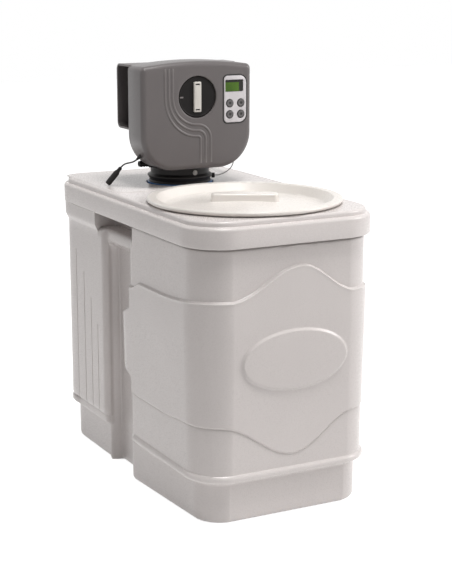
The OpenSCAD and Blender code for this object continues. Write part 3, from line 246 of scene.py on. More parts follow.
def makeFinish(name, ownLook):
    look = {**plainLook, **ownLook}
    main = look["colour"]
    material = bpy.data.materials.new(name)
    material.use_nodes = True
    tree = material.node_tree
    shader = tree.nodes["Principled BSDF"]
    colour = addNode(tree, "ShaderNodeGroup", {
        "Main": main,
        "Second": look.get("second", shadeOf(main, look["secondShare"])),
        "Edge": look.get("edge", shadeOf(main, look["edgeShare"])),
        "Scale": look["driftScale"],
        "Edge Amount": look["edgeAmount"],
    }, node_tree=toneDrift)
    grain = addNode(tree, "ShaderNodeGroup", {"Scale": look["grainScale"]}, node_tree=mouldGrain)
    sheen = addNode(tree, "ShaderNodeMapRange", {
        "From Min": 0.3,
        "From Max": 0.7,
        "To Min": look["roughness"] - look["roughSpread"],
        "To Max": look["roughness"] + look["roughSpread"],
    })
    bump = addNode(tree, "ShaderNodeBump", {"Strength": look["bump"], "Distance": look["bumpDepth"] * mm})
    wire(
        tree,
        (colour, "Colour", shader, "Base Color"),
        (grain, "Speck", sheen, "Value"),
        (sheen, "Result", shader, "Roughness"),
        (grain, "Height", bump, "Height"),
        (bump, "Normal", shader, "Normal"),
    )
    for socket, value in look["sockets"].items():
        shader.inputs[socket].default_value = value
    return material


# the Edge colours lighten rounded edges: a painted highlight, strongest on the cabinet and cover, partly wear
looks = {
    "cabinet": {"colour": tone(206, 200, 198), "second": tone(202, 196, 194), "edge": tone(244, 240, 237),
                "edgeAmount": 0.9, "roughness": 0.29, "bump": 0.09},
    "cover": {"colour": tone(212, 206, 204), "second": tone(208, 202, 200), "edge": tone(244, 240, 237),
              "edgeAmount": 0.7, "roughness": 0.28, "bump": 0.08},
    "lid": {"colour": tone(227, 222, 217), "second": tone(222, 217, 211), "roughness": 0.3, "bump": 0.07},
    "vessel": {"colour": tone(52, 104, 160), "second": tone(40, 88, 145), "roughness": 0.4, "bump": 0.3,
               "grainScale": 300.0},
    "resin": {"colour": tone(150, 96, 40), "second": tone(108, 62, 22), "roughness": 0.5, "bump": 0.9,
              "driftScale": 400.0, "grainScale": 1200.0},
    "white_plastic": {"colour": tone(226, 226, 220), "roughness": 0.4},
    "black_plastic": {"colour": tone(30, 28, 28), "second": tone(24, 22, 22), "edge": tone(70, 66, 64),
                      "roughness": 0.42, "bump": 0.25, "grainScale": 600.0,
                      "sockets": {"Specular IOR Level": 0.25}},
    "rubber": {"colour": tone(26, 25, 25), "second": tone(33, 32, 31), "roughness": 0.7, "bump": 0.3,
               "grainScale": 500.0},
    "steel": {"colour": tone(134, 131, 129), "second": tone(118, 116, 114), "roughness": 0.4,
              "driftScale": 90.0, "sockets": {"Metallic": 1.0}},
    "brass": {"colour": tone(206, 168, 92), "second": tone(184, 144, 72), "roughness": 0.3,
              "driftScale": 60.0, "sockets": {"Metallic": 1.0}},
    "knob": {"colour": tone(27, 25, 24), "second": tone(22, 20, 20), "edge": tone(66, 62, 59),
             "roughness": 0.5, "bump": 0.3, "grainScale": 700.0, "sockets": {"Specular IOR Level": 0.15}},
    "knob_bar": {"colour": tone(206, 203, 197), "second": tone(198, 194, 188), "roughness": 0.4},
    "hood": {"colour": tone(94, 89, 89), "second": tone(89, 84, 84), "edge": tone(138, 132, 131),
             "roughness": 0.36, "bump": 0.22, "grainScale": 700.0, "edgeAmount": 0.5,
             "sockets": {"Specular IOR Level": 0.55}},
    "panel": {"colour": tone(200, 196, 198), "second": tone(191, 187, 190), "roughness": 0.36,
              "driftScale": 30.0, "sockets": {"Metallic": 0.25}},
    "display": {"colour": tone(92, 132, 44), "second": tone(78, 116, 36), "roughness": 0.25,
                "driftScale": 90.0},
    "window": {"colour": tone(72, 106, 26), "second": tone(58, 88, 20), "roughness": 0.22, "bump": 0.02,
               "driftScale": 70.0, "sockets": {"Specular IOR Level": 0.3}},
    "board": {"colour": tone(30, 92, 52), "second": tone(24, 76, 44), "roughness": 0.4, "driftScale": 120.0},
    "key": {"colour": tone(92, 89, 90), "second": tone(85, 82, 83), "edge": tone(108, 105, 105),
            "roughness": 0.5, "bump": 0.25},
    "grey_cable": {"colour": tone(205, 204, 204), "second": tone(194, 193, 194), "roughness": 0.5},
    "black_cable": {"colour": tone(26, 24, 24), "second": tone(34, 32, 31), "roughness": 0.45},
}
finishes = {slot: makeFinish(slot + "Finish", look) for slot, look in looks.items()}


def paintOver(material, mask, output, under):
    # the finish keeps its own colour where the mask is one
    tree = material.node_tree
    base = tree.nodes["Principled BSDF"].inputs["Base Color"]
    blend = addNode(tree, "ShaderNodeMix", {6: under}, data_type="RGBA")
    tree.links.new(base.links[0].from_socket, blend.inputs[7])
    wire(tree, (mask, output, blend, "Factor"))
    tree.links.new(blend.outputs[2], base)


# Display: a green field inside a dark frame, with a painted shadow of the frame along its right and top
screen = {"right": 72.8, "top": 605.4, "frame": tone(34, 33, 30)}


def dressScreen(material):
    tree = material.node_tree
    place = addNode(tree, "ShaderNodeTexCoord")
    apart = addNode(tree, "ShaderNodeSeparateXYZ")
    beside = addNode(tree, "ShaderNodeMath", {1: screen["right"] * mm}, operation="LESS_THAN")
    below = addNode(tree, "ShaderNodeMath", {1: screen["top"] * mm}, operation="LESS_THAN")
    inside = addNode(tree, "ShaderNodeMath", operation="MULTIPLY")
    wire(
        tree,
        (place, "Object", apart, 0),
        (apart, "X", beside, 0),
        (apart, "Z", below, 0),
        (beside, 0, inside, 0),
        (below, 0, inside, 1),
    )
    # right of the field and above it the colour is painted dark: the frame's edge and its painted shadow
    paintOver(material, inside, 0, screen["frame"])


# Keys: the painted attribute tells the grey ring from the dark middle and rim
keyDark = tone(26, 25, 25)


def dressKeys(material):
    painted = addNode(material.node_tree, "ShaderNodeAttribute", attribute_name="greyRing")
    paintOver(material, painted, "Fac", keyDark)


dressScreen(finishes["window"])
dressKeys(finishes["key"])
for row in frame["record"]["subparts"]:
    node = cadNodes[row["node"]]
    node.data.materials.clear()
    node.data.materials.append(finishes[row["material_slot"]])
leadPiece.data.materials.append(finishes["black_cable"])
meterPiece.data.materials.append(finishes["grey_cable"])
print("finishes made:", len(finishes))


# Mesh makers: a shape is a list of points in millimetres and a list of faces
def newShape():
    return {"points": [], "faces": []}


def smoothStep(low, high, value):
    t = min(1.0, max(0.0, (value - low) / (high - low)))
    return t * t * (3 - 2 * t)


def mixed(a, b, t):
    return a + (b - a) * t


def steps(count):
    return [i / count for i in range(count)]


def addRows(shape, rows):
    start = len(shape["points"])
    count = len(rows[0])
    for row in rows:
        shape["points"].extend(row)
    for r in range(len(rows) - 1):
        for c in range(count):
            a = start + r * count + c
            b = start + r * count + (c + 1) % count
            shape["faces"].append((a, b, b + count, a + count))


def addFill(shape, loops):
    start = len(shape["points"])
    for loop in loops:
        shape["points"].extend(loop)
    for face in tessellate_polygon([[Vector(p) for p in loop] for loop in loops]):
        shape["faces"].append(tuple(start + i for i in face))


def addSolid(shape, rows):
    addRows(shape, rows)
    addFill(shape, [rows[0]])
    addFill(shape, [rows[-1]])


def arc(middleA, middleB, radius, startDegrees, endDegrees, count):
    made = []
    for i in range(count + 1):
        angle = math.radians(mixed(startDegrees, endDegrees, i / count))
        made.append((middleA + radius * math.cos(angle), middleB + radius * math.sin(angle)))
    return made


def roundPlan(halfX, halfY, radius, middle, cornerSteps):
    points = []
    for signX, signY, start in ((1, -1, -90), (1, 1, 0), (-1, 1, 90), (-1, -1, 180)):
        x = middle[0] + signX * (halfX - radius)
        y = middle[1] + signY * (halfY - radius)
        points.extend(arc(x, y, radius, start, start + 90, cornerSteps))
    return points


def circle(x, y, radius, count=96):
    return arc(x, y, radius, 0, 360 * (count - 1) / count, count - 1)


def level(loop, z):
    return [(x, y, z) for x, y in loop]


def facing(loop, y):
    return [(x, y, z) for x, z in loop]


def latheRows(profile, count, middle, upright=True):
    rows = []
    for radius, height in profile:
        ring = circle(middle[0], middle[1], max(radius, 0.0), count)
        rows.append(level(ring, height) if upright else facing(ring, height))
    return rows


sharpAngle = math.radians(32)
weld = 1e-6  # metres


def dressMesh(name, mesh, slot, body, replaced=()):
    mesh.name = name
    mesh.shade_smooth()
    mesh.set_sharp_from_angle(angle=sharpAngle)
    if not mesh.materials:
        mesh.materials.append(finishes[slot])
    piece = bpy.data.objects.new(name, mesh)
    bpy.context.scene.collection.objects.link(piece)
    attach(piece, body)
    if replaced:
        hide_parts(*replaced)
    return piece


def makePiece(name, shape, slot, body, replaced=()):
    mesh = bpy.data.meshes.new(name)
    mesh.from_pydata([[v * mm for v in p] for p in shape["points"]], [], shape["faces"])
    work = bmesh.new()
    work.from_mesh(mesh)
    bmesh.ops.remove_doubles(work, verts=work.verts, dist=weld)
    bmesh.ops.dissolve_degenerate(work, edges=work.edges, dist=weld / 10)
    bmesh.ops.recalc_face_normals(work, faces=work.faces)
    work.to_mesh(mesh)
    work.free()
    return dressMesh(name, mesh, slot, body, replaced)


# Cabinet: one lofted shell whose outline follows the height
shell = {
    "inset": 9.0, "corner": 55.0, "crease": 8.0,
    "top": 405.7, "rimTop": 431.7, "ceiling": 412.0, "floor": 8.0, "rim": 4.0, "wall": 7.0,
    "innerBelly": 84.0, "innerBase": 62.0,
    "footRound": 8.0, "baseInset": 9.0, "baseFlare": -0.1, "baseRows": (25.0, 40.0, 56.0),
    "underBead": [(59.5, 8.8), (62.0, 7.2), (63.2, 5.0), (63.8, 2.6)],
    "beadZ": 70.0, "beadRadius": 6.2, "beadSink": 1.9,
    "beadAtEdge": 0.35, "beadAtSide": 0.15, "beadAtBack": 0.9, "beadFade": (185.0, 209.0),
    "bellyProud": 3.8, "bellyLow": 1.7, "bellySoft": 1.6, "bellyBlend": (10.0, 20.0),
    "ridge": {"height": 0.6, "drop": 1.8, "width": 1.5},
    "lowLine": {"height": 0.6, "drop": 1.4, "width": 1.2},
    "underBand": 1.8, "underBandSoft": (401.5, 404.0),
    "channelX": 121.0, "channelFront": -8.0, "frontRound": 18.0, "floorRound": 3.0,
    "tabReach": 24.0, "tabLow": (166.0, 178.0), "tabHigh": (264.0, 279.0),
    "rearIn": 70.0, "rearOut": 74.6, "rearRound": 9.0,
    "ledgeLow": 350.0, "ledgeHigh": 364.0, "ledgeInset": 4.0,
    "gripZ": 382.0, "gripX": 112.0, "gripFront": -29.0, "gripRear": 97.0, "gripRound": 6.0,
    "gripRows": (0.0, 1.5, 4.0, 8.0, 12.0, 17.0, 19.5, 20.3, 21.2, 22.0), "seam": 0.02,
    "lip": 8.0, "lipRows": 7,
    "rearProud": 2.8, "rearSoft": (74.0, 80.0),
    "shoulderProud": 7.9, "shoulderLow": 374.0, "shoulderHigh": 388.0,
    "grooveDepth": 1.6, "grooveFlat": 0.5, "grooveHalf": 1.4, "grooveBottom": 76.0, "grooveEnd": 4.0,
    "grooves": [(105.0, 225.0), (131.0, 263.0), (159.0, 300.0), (191.0, 333.0)],
    "badge": {"x": 4.0, "z": 237.0, "halfX": 88.0, "halfZ": 46.0, "rim": 4.6, "step": 3.2, "pillow": 1.0},
}
# Wave lines round the front and sides, by the distance across from the middle of the front
waves = {
    "upper": {"front": 329.8, "side": 322.0, "bend": (120, 250), "height": 44.0, "middle": 13.0,
              "left": 112.0, "right": 91.0, "hook": 11.0, "hookFrom": -62.0},
    "lower": {"front": 147.5, "side": 142.0, "bend": (172, 250), "height": -52.0, "middle": 3.0,
              "left": 118.0, "right": 103.0},
}
# Rows of the body by their heights before the warp, bunched within a reach of each wave line
bodyRows = {
    "bottom": 76.5, "low": [80, 90, 102, 114, 126, 136], "lower": 149.5,
    "tab": [160, 163, 166, 169, 172, 175, 178, 182], "badge": 186.0, "badgeStep": 1.5, "badgeCount": 69,
    "high": [294, 300, 306, 312, 319], "upper": 331.5, "ledge": [345, 352, 360], "crown": 366.0,
    "bunch": [-3.8, -2.4, -1.4, -0.7, 0, 0.7, 1.4, 2.4, 3.8], "reach": 6.0, "crownOver": 9.0,
    "frontStill": 288.0, "sideStill": 240.0,
}
# Columns round one half, by zone
columnCounts = {"front": 60, "frontCorner": 24, "sideFront": 40, "rearCorner": 16, "rear": 10}
channelCounts = {"lipFront": 3, "edge": 9, "wall": 2, "inFront": 4, "floor": 7, "inRear": 4, "rearWall": 3,
                 "rearEdge": 7, "lipRear": 5}
channelWarps = {"wall": (1.0, 0.6), "inFront": (0.6, 0.2), "floor": (0.2, 0.0), "inRear": (0.0, 0.0),
                "rearWall": (0.0, 0.0)}
gripFrontShares = {"lipFront": (0, 0.12), "edge": (0.12, 0.85), "wall": (0.85, 1)}
gripRearShares = {"rearWall": (0, 0.2), "rearEdge": (0.2, 0.7), "lipRear": (0.7, 1)}
sideRear = {"aroundGroove": (-2.6, -1.4, -0.6, 0.0, 0.6, 1.4, 2.6), "afterGrip": (0, 3),
            "from": 112, "step": 7}

bodyHalf = halfWidth - shell["inset"]
bodyDepth = halfDepth - shell["inset"]
cornerFlat = bodyHalf - shell["corner"]
frontHalf = cornerFlat + shell["corner"] * math.sin(math.radians(shell["crease"]))
# the side's flat starts here
cornerY = shell["corner"] * math.cos(math.radians(shell["crease"])) - bodyDepth


def waveLevel(wave, across):
    reach = abs(across - wave["middle"]) / wave["left" if across < wave["middle"] else "right"]
    hump = wave["height"] / 2 * (1 + math.cos(math.pi * reach)) if reach < 1 else 0
    return mixed(wave["front"], wave["side"], smoothStep(*wave["bend"], abs(across))) + hump


def channelPieces():
    pieces = [(zone, t) for zone, count in channelCounts.items() for t in steps(count)]
    return pieces + [("lipRear", 1.0)]


def sideRearPlaces():
    places = set()
    for y, top in shell["grooves"]:
        places.update(y + d for d in sideRear["aroundGroove"])
    places.update(shell["gripRear"] + shell["seam"] + d for d in sideRear["afterGrip"])
    places.update(range(sideRear["from"], int(bodyDepth - shell["corner"]), sideRear["step"]))
    return sorted(places)


def cabinetColumns():
    counts = columnCounts
    columns = [{"zone": zone, "t": t} for zone in ("front", "frontCorner") for t in steps(counts[zone])]
    sideEnd = shell["gripFront"] - shell["seam"]
    sidePlaces = [mixed(cornerY, sideEnd, t) for t in steps(counts["sideFront"]) + [1.0]]
    columns += [{"zone": "sideFront", "y": y} for y in sidePlaces]
    columns += [{"zone": zone, "t": t, "channel": True} for zone, t in channelPieces()]
    columns += [{"zone": "sideRear", "y": y} for y in sideRearPlaces()]
    columns += [{"zone": "rearCorner", "t": t} for t in steps(counts["rearCorner"])]
    columns += [{"zone": "rear", "t": t} for t in steps(counts["rear"]) + [1.0]]
    return columns


# A place is x and y with the direction that faces outward there
def channelPlace(zone, t, edgeY):
    floorX = shell["channelX"]
    q = shell["floorRound"]
    r = shell["frontRound"]
    rearR = shell["rearRound"]
    rearX = bodyHalf - rearR
    rearY = shell["rearOut"] + rearR
    if zone == "lipFront":
        return bodyHalf, mixed(shell["gripFront"], edgeY - r, t), 1, 0
    if zone == "edge":
        a = math.radians(90 * t)
        return bodyHalf - r + r * math.cos(a), edgeY - r + r * math.sin(a), math.cos(a), math.sin(a)
    if zone == "wall":
        return mixed(bodyHalf - r, floorX + q, t), edgeY, 0, 1
    if zone == "inFront":
        a = math.radians(mixed(270, 180, t))
        return floorX + q + q * math.cos(a), edgeY + q + q * math.sin(a), -math.cos(a), -math.sin(a)
    if zone == "floor":
        return floorX, mixed(edgeY + q, shell["rearIn"] - q, t), 1, 0
    if zone == "inRear":
        a = math.radians(mixed(180, 90, t))
        return floorX + q + q * math.cos(a), shell["rearIn"] - q + q * math.sin(a), -math.cos(a), -math.sin(a)
    if zone == "rearWall":
        return mixed(floorX + q, rearX, t), mixed(shell["rearIn"], shell["rearOut"], t), 0, -1
    if zone == "rearEdge":
        a = math.radians(mixed(-90, 0, t))
        return rearX + rearR * math.cos(a), rearY + rearR * math.sin(a), math.cos(a), math.sin(a)
    return bodyHalf, mixed(rearY, shell["gripRear"], t), 1, 0


def gripPlace(zone, t):
    q = shell["gripRound"]
    inX = shell["gripX"] + q
    front = shell["gripFront"]
    rear = shell["gripRear"]
    if zone in gripFrontShares:
        return mixed(bodyHalf, inX, mixed(*gripFrontShares[zone], t)), front, 0, 1
    if zone in gripRearShares:
        return mixed(inX, bodyHalf, mixed(*gripRearShares[zone], t)), rear, 0, -1
    if zone == "floor":
        return shell["gripX"], mixed(front + q, rear - q, t), 1, 0
    y, start, end = (front + q, 270, 180) if zone == "inFront" else (rear - q, 180, 90)
    a = math.radians(mixed(start, end, t))
    return inX + q * math.cos(a), y + q * math.sin(a), -math.cos(a), -math.sin(a)


def outlinePlace(column, z, grip):
    zone = column["zone"]
    corner = shell["corner"]
    if zone == "front":
        return frontHalf * column["t"], -bodyDepth, 0, -1
    if zone == "frontCorner":
        a = math.radians(mixed(shell["crease"], 90, column["t"]))
        return cornerFlat + corner * math.sin(a), cornerY - corner * math.cos(a), math.sin(a), -math.cos(a)
    if zone == "rearCorner":
        a = math.radians(90 * column["t"])
        y = bodyDepth - corner + corner * math.sin(a)
        return cornerFlat + corner * math.cos(a), y, math.cos(a), math.sin(a)
    if zone in ("sideFront", "sideRear"):
        return bodyHalf, column["y"], 1, 0
    if zone == "rear":
        return cornerFlat * (1 - column["t"]), bodyDepth, 0, 1
    if grip == "straight":
        place = channelPlace(zone, column["t"], shell["channelFront"])
        return bodyHalf, min(max(place[1], shell["gripFront"]), shell["gripRear"]), 1, 0
    if grip == "pocket":
        return gripPlace(zone, column["t"])
    tab = smoothStep(*shell["tabLow"], z) * (1 - smoothStep(*shell["tabHigh"], z))
    x, y, nx, ny = channelPlace(zone, column["t"], shell["channelFront"] + shell["tabReach"] * tab)
    # a solid lip closes the channel's top
    ledge = smoothStep(shell["ledgeLow"], shell["ledgeHigh"], z)
    outX = max(x, bodyHalf - shell["ledgeInset"])
    return mixed(x, outX, ledge), y, mixed(nx, 1, ledge), mixed(ny, 0, ledge)


def columnShares(column):
    zone = column["zone"]
    t = column.get("t")
    flare = shell["baseFlare"]
    edgeBead = shell["beadAtEdge"]
    sideBead = shell["beadAtSide"]
    backBead = shell["beadAtBack"]
    shares = {"base": 1.0, "bead": 1.0, "belly": 1.0, "warp": 1.0, "rear": 0.0, "shoulder": 0.0}
    shares["lip"] = 1.0 if column.get("channel") else 0.0
    if zone == "sideFront":
        shares["base"] = mixed(1.0, flare, (column["y"] - cornerY) / (shell["gripFront"] - cornerY))
    elif zone == "lipFront":
        shares.update(base=flare, bead=mixed(1.0, edgeBead, t))
    elif zone == "edge":
        shares.update(base=mixed(flare, 0, t), bead=mixed(edgeBead, 0, t), belly=1 - t)
    elif zone in channelWarps:
        shares.update(base=0.0, bead=0.0, belly=0.0, warp=mixed(*channelWarps[zone], t))
    elif zone == "rearEdge":
        shares.update(base=t, bead=sideBead * t, belly=0.0, warp=0.0, rear=t)
    elif zone == "lipRear":
        shares.update(bead=sideBead, belly=0.0, warp=0.0, rear=1.0)
    elif zone == "sideRear":
        bead = mixed(sideBead, backBead, smoothStep(*shell["beadFade"], column["y"]))
        shares.update(bead=bead, belly=0.0, warp=0.0, rear=1.0, shoulder=1.0)
    elif zone in ("rearCorner", "rear"):
        shares.update(bead=backBead, belly=0.0, warp=0.0, rear=1.0, shoulder=1.0)
    return shares


def acrossOf(column):
    zone = column["zone"]
    turned = math.radians(90 - shell["crease"]) * shell["corner"]
    if zone == "front":
        return frontHalf * column["t"]
    if zone == "frontCorner":
        return frontHalf + turned * column["t"]
    y = column["y"] if zone == "sideFront" else shell["gripFront"]
    return frontHalf + turned + y - cornerY


def waveLevels(column, sign):
    across = sign * acrossOf(column)
    y = column["y"] if column["zone"] == "sideFront" else shell["gripFront"]
    hook = waves["upper"]["hook"] * smoothStep(waves["upper"]["hookFrom"], shell["gripFront"], y)
    atSide = column["zone"] not in ("front", "frontCorner")
    return waveLevel(waves["lower"], across), waveLevel(waves["upper"], across) - (hook if atSide else 0)


def badgeHeight(across, z):
    badge = shell["badge"]
    du = across - badge["x"]
    dz = z - badge["z"]
    reach = math.hypot(du / badge["halfX"], dz / badge["halfZ"])
    if reach >= 1:
        return 0.0
    inside = math.hypot(du, dz) * (1 / max(reach, 1e-6) - 1)
    return badge["step"] * smoothStep(0, badge["rim"], inside) + badge["pillow"] * (1 - reach * reach)


def bandLevel(anchors, nominal):
    for (n0, z0), (n1, z1) in zip(anchors, anchors[1:]):
        if nominal <= n1:
            return mixed(z0, z1, (nominal - n0) / (n1 - n0))
    return anchors[-1][1]


# Each low row is a height, the foot's inset, the base's inset and how far the bead stands out
def lowRows():
    base = shell["baseInset"]
    bead = shell["beadRadius"]
    foot = shell["footRound"]
    rows = [(foot + z, foot - x, base, 0.0) for z, x in arc(0, 0, foot, 180, 90, 6)]
    rows += [(z, 0.0, base, 0.0) for z in shell["baseRows"]]
    rows += [(z, 0.0, inset, 0.0) for z, inset in shell["underBead"]]
    for degrees in (-75, -50, -25, 0, 25, 50, 70):
        a = math.radians(degrees)
        out = bead * math.cos(a) - shell["beadSink"]
        rows.append((shell["beadZ"] + bead * math.sin(a), 0.0, max(-out, 0.0), max(out, 0.0)))
    return rows


def bunchedLevels(line):
    reach = bodyRows["reach"]
    return [line + d for d in [-reach] + bodyRows["bunch"] + [reach]]


def bodyLevels():
    badgeLevels = [bodyRows["badge"] + bodyRows["badgeStep"] * i for i in range(bodyRows["badgeCount"])]
    levels = [bodyRows["bottom"]] + bodyRows["low"] + bunchedLevels(bodyRows["lower"])
    levels += bodyRows["tab"] + badgeLevels + bodyRows["high"]
    return levels + bunchedLevels(bodyRows["upper"]) + bodyRows["ledge"] + [bodyRows["crown"]]


def moundHeight(mound, z, line):
    return math.exp(-((z - line + mound["drop"]) / mound["width"]) ** 2) * mound["height"]


def swell(column, shares, z, wave, across):
    low, high = wave
    soft = shell["bellySoft"]
    out = 0.0
    if shares["belly"]:
        under = 1 - smoothStep(high - soft, high + soft, z)
        above = smoothStep(low - soft, low + soft, z)
        overLow, underHigh = shell["bellyBlend"]
        proud = mixed(shell["bellyLow"], shell["bellyProud"], smoothStep(low + overLow, high - underHigh, z))
        crest = moundHeight(shell["ridge"], z, high)
        line = moundHeight(shell["lowLine"], z, low)
        out += shares["belly"] * (proud * under * above + crest - line)
        out -= shell["underBand"] * smoothStep(*shell["underBandSoft"], z)
    if column["zone"] in ("front", "frontCorner"):
        out += badgeHeight(across, z)
    if column["zone"] == "sideRear":
        bottom = shell["grooveBottom"]
        end = shell["grooveEnd"]
        for y, top in shell["grooves"]:
            side = 1 - smoothStep(shell["grooveFlat"], shell["grooveHalf"], abs(column["y"] - y))
            ends = smoothStep(bottom, bottom + end, z) * (1 - smoothStep(top - end, top, z))
            out -= shell["grooveDepth"] * side * ends
    up = smoothStep(shell["shoulderLow"], shell["shoulderHigh"], z)
    out += shell["rearProud"] * shares["rear"] * smoothStep(*shell["rearSoft"], z) * (1 - up)
    return out + shell["shoulderProud"] * shares["shoulder"] * up


def warpedLevel(nominal, wave, share, front):
    # rows bunch up along the two wave lines
    if not share:
        return nominal
    plainCrown = bodyRows["crown"]
    reach = bodyRows["reach"]
    crown = max(plainCrown, wave[1] + bodyRows["crownOver"])
    if nominal > plainCrown:
        warped = mixed(crown, shell["top"], (nominal - plainCrown) / (shell["top"] - plainCrown))
    else:
        still = [bodyRows["badge"], bodyRows["frontStill" if front else "sideStill"]]
        anchors = [(bodyRows["bottom"], bodyRows["bottom"])]
        anchors += [(bodyRows["lower"] + d, wave[0] + d) for d in (-reach, reach)]
        anchors += [(z, z) for z in still]
        anchors += [(bodyRows["upper"] + d, wave[1] + d) for d in (-reach, reach)]
        anchors += [(plainCrown, crown)]
        warped = bandLevel(anchors, nominal)
    return mixed(nominal, warped, share)


def cabinetRows(columns, sign):
    # each row holds one point for every column of this half
    rows = []
    shares = [columnShares(c) for c in columns]
    levels = [waveLevels(c, sign) for c in columns]
    acrosses = [sign * acrossOf(c) for c in columns]
    fronts = [c["zone"] in ("front", "frontCorner") for c in columns]
    perColumn = list(zip(columns, shares, levels, acrosses, fronts))

    def put(row, column, z, out, grip=None, widest=None):
        x, y, nx, ny = outlinePlace(column, z, grip)
        x += nx * out
        if widest:
            x = min(x, widest)
        row.append((sign * x, y + ny * out, z))

    def plainRow(z, out, grip, innerOut=None):
        row = []
        for column in columns:
            if innerOut is not None and column.get("channel"):
                put(row, column, z, innerOut, grip, bodyHalf + out)
            else:
                put(row, column, z, out, grip)
        rows.append(row)

    for z, foot, base, bead in lowRows():
        row = []
        for column, share in zip(columns, shares):
            put(row, column, z, bead * share["bead"] - base * share["base"] - foot)
        rows.append(row)
    for nominal in bodyLevels():
        row = []
        for column, share, wave, across, front in perColumn:
            z = warpedLevel(nominal, wave, share["warp"], front)
            put(row, column, z, swell(column, share, z, wave, across))
        rows.append(row)
    lip = shell["lip"]
    gripZ = shell["gripZ"]
    for i in range(1, shell["lipRows"] + 1):
        a = math.radians(90 * i / shell["lipRows"])
        rise = gripZ - lip + lip * math.sin(a)
        sink = lip * (1 - math.cos(a))
        row = []
        for column, share, wave, across, front in perColumn:
            z = rise if column.get("channel") else warpedLevel(rise, wave, share["warp"], front)
            put(row, column, z, swell(column, share, z, wave, across) - sink * share["lip"])
        rows.append(row)
    for nominal in [gripZ + d for d in shell["gripRows"]] + [shell["top"]]:
        row = []
        for column, share, wave, across, front in perColumn:
            inChannel = column.get("channel")
            z = nominal if inChannel else warpedLevel(nominal, wave, share["warp"], front)
            put(row, column, z, 0.0 if inChannel else swell(column, share, z, wave, across), "pocket")
        rows.append(row)
    thick = shell["rim"]
    rim = -thick
    wall = -shell["wall"]
    low = wall - shell["baseInset"]
    plainRow(shell["top"], rim, "pocket", 0.0)
    plainRow(shell["ceiling"], rim, "pocket", 0.0)
    plainRow(shell["ceiling"], rim, "straight")
    plainRow(shell["rimTop"], rim, "straight")
    plainRow(shell["rimTop"], wall, "straight")
    plainRow(shell["ceiling"] + thick + 1, wall, "straight")
    plainRow(shell["ceiling"] + thick, wall, "pocket", rim)
    plainRow(gripZ - thick, wall, "pocket", rim)
    plainRow(shell["ledgeLow"] - thick, wall, None, rim)
    plainRow(shell["innerBelly"], wall, None, rim)
    plainRow(shell["innerBase"], low, None, rim)
    plainRow(shell["floor"], low, None, rim)
    return rows


def makeCabinet():
    columns = cabinetColumns()
    right = cabinetRows(columns, 1)
    left = cabinetRows(columns, -1)
    shape = newShape()
    addSolid(shape, [a + b[-2:0:-1] for a, b in zip(right, left)])
    return makePiece("cabinet_shell", shape, "cabinet", "cabinet", ["cabinet_body"])


cabinetPiece = makeCabinet()
print("cabinet made:", len(cabinetPiece.data.polygons), "faces")

# Cover: a swept band, a platform with the mouth, and a raised rear deck
cover = {
    "corner": 64.0, "bottom": 406.0, "ledge": 436.0, "platform": 444.0, "deck": 445.0, "under": 440.0,
    "platformInset": 7.0, "bandRound": 5.0, "platformRound": 4.0, "band": 4.0, "inside": 431.9,
    "ledgeFillet": [(-0.3, 0.6), (-1.0, 0.0)], "bandStart": 12.0, "lowRound": 1.5,
    "deckHalf": 140.0, "deckFront": 28.5, "deckBack": 261.0, "deckCorner": 30.0,
    "deckSteps": [(-0.6, 0.0), (0.0, 0.0), (1.0, 0.12), (2.0, 0.5), (3.0, 0.88), (4.0, 1.0), (7.0, 1.0)],
    "mouth": 131.0, "neckHole": 54.0, "tubeHole": (108.2, 213.2, 5.75), "support": 2.0,
    "holeEase": [(3.0, 0.0), (1.2, 0.0), (0.4, 0.4), (0.0, 1.2)],
}


def coverLoop(inset):
    radius = max(cover["corner"] - inset, 1.0)
    return roundPlan(halfWidth - inset, halfDepth - inset, radius, (0, 0), 22)


def deckLoop(inset):
    front = cover["deckFront"] + inset
    back = cover["deckBack"] - inset
    middle = (0, (front + back) / 2)
    return roundPlan(cover["deckHalf"] - inset, (back - front) / 2, cover["deckCorner"] - inset, middle, 16)


def makeCover():
    shape = newShape()
    inset = cover["platformInset"]
    platformR = cover["platformRound"]
    bandR = cover["bandRound"]
    lowR = cover["lowRound"]
    flatInset = inset + platformR
    profile = [(flatInset + cover["support"], cover["platform"])]
    profile += arc(flatInset, cover["platform"] - platformR, platformR, 90, 180, 6)
    profile += [(inset + d, cover["ledge"] + rise) for d, rise in cover["ledgeFillet"]]
    profile += arc(bandR, cover["ledge"] - bandR, bandR, 90, 180, 7)
    profile += [(0, cover["bottom"] + cover["bandStart"])]
    profile += arc(lowR, cover["bottom"] + lowR, lowR, 180, 270, 3)
    profile += [(cover["band"], cover["bottom"]), (cover["band"], cover["inside"])]
    profile += [(flatInset, cover["inside"]), (flatInset, cover["under"])]
    outside = [level(coverLoop(i), z) for i, z in profile]
    addRows(shape, outside)
    rise = cover["deck"] - cover["platform"]
    skirt = [level(deckLoop(i), cover["platform"] + rise * share) for i, share in cover["deckSteps"]]
    addRows(shape, skirt)
    tubeX, tubeY, tubeR = cover["tubeHole"]
    holes = {
        "mouth": (0, lidY, cover["mouth"], cover["platform"]),
        "neck": (0, neckY, cover["neckHole"], cover["deck"]),
        "tube": (tubeX, tubeY, tubeR, cover["deck"]),
    }
    tops = {}
    lows = {}
    for name, (x, y, radius, z) in holes.items():
        rings = [(radius + out, z - down) for out, down in cover["holeEase"]] + [(radius, cover["under"])]
        ringRows = [level(circle(x, y, r), h) for r, h in rings]
        addRows(shape, ringRows)
        tops[name] = ringRows[0]
        lows[name] = ringRows[-1]
    addFill(shape, [outside[0], tops["mouth"], skirt[0]])
    addFill(shape, [skirt[-1], tops["neck"], tops["tube"]])
    addFill(shape, [outside[-1], lows["mouth"], lows["neck"], lows["tube"]])
    return makePiece("cover_shell", shape, "cover", "cabinet", ["cabinet_cover"])


coverPiece = makeCover()
print("cover made:", len(coverPiece.data.polygons), "faces")

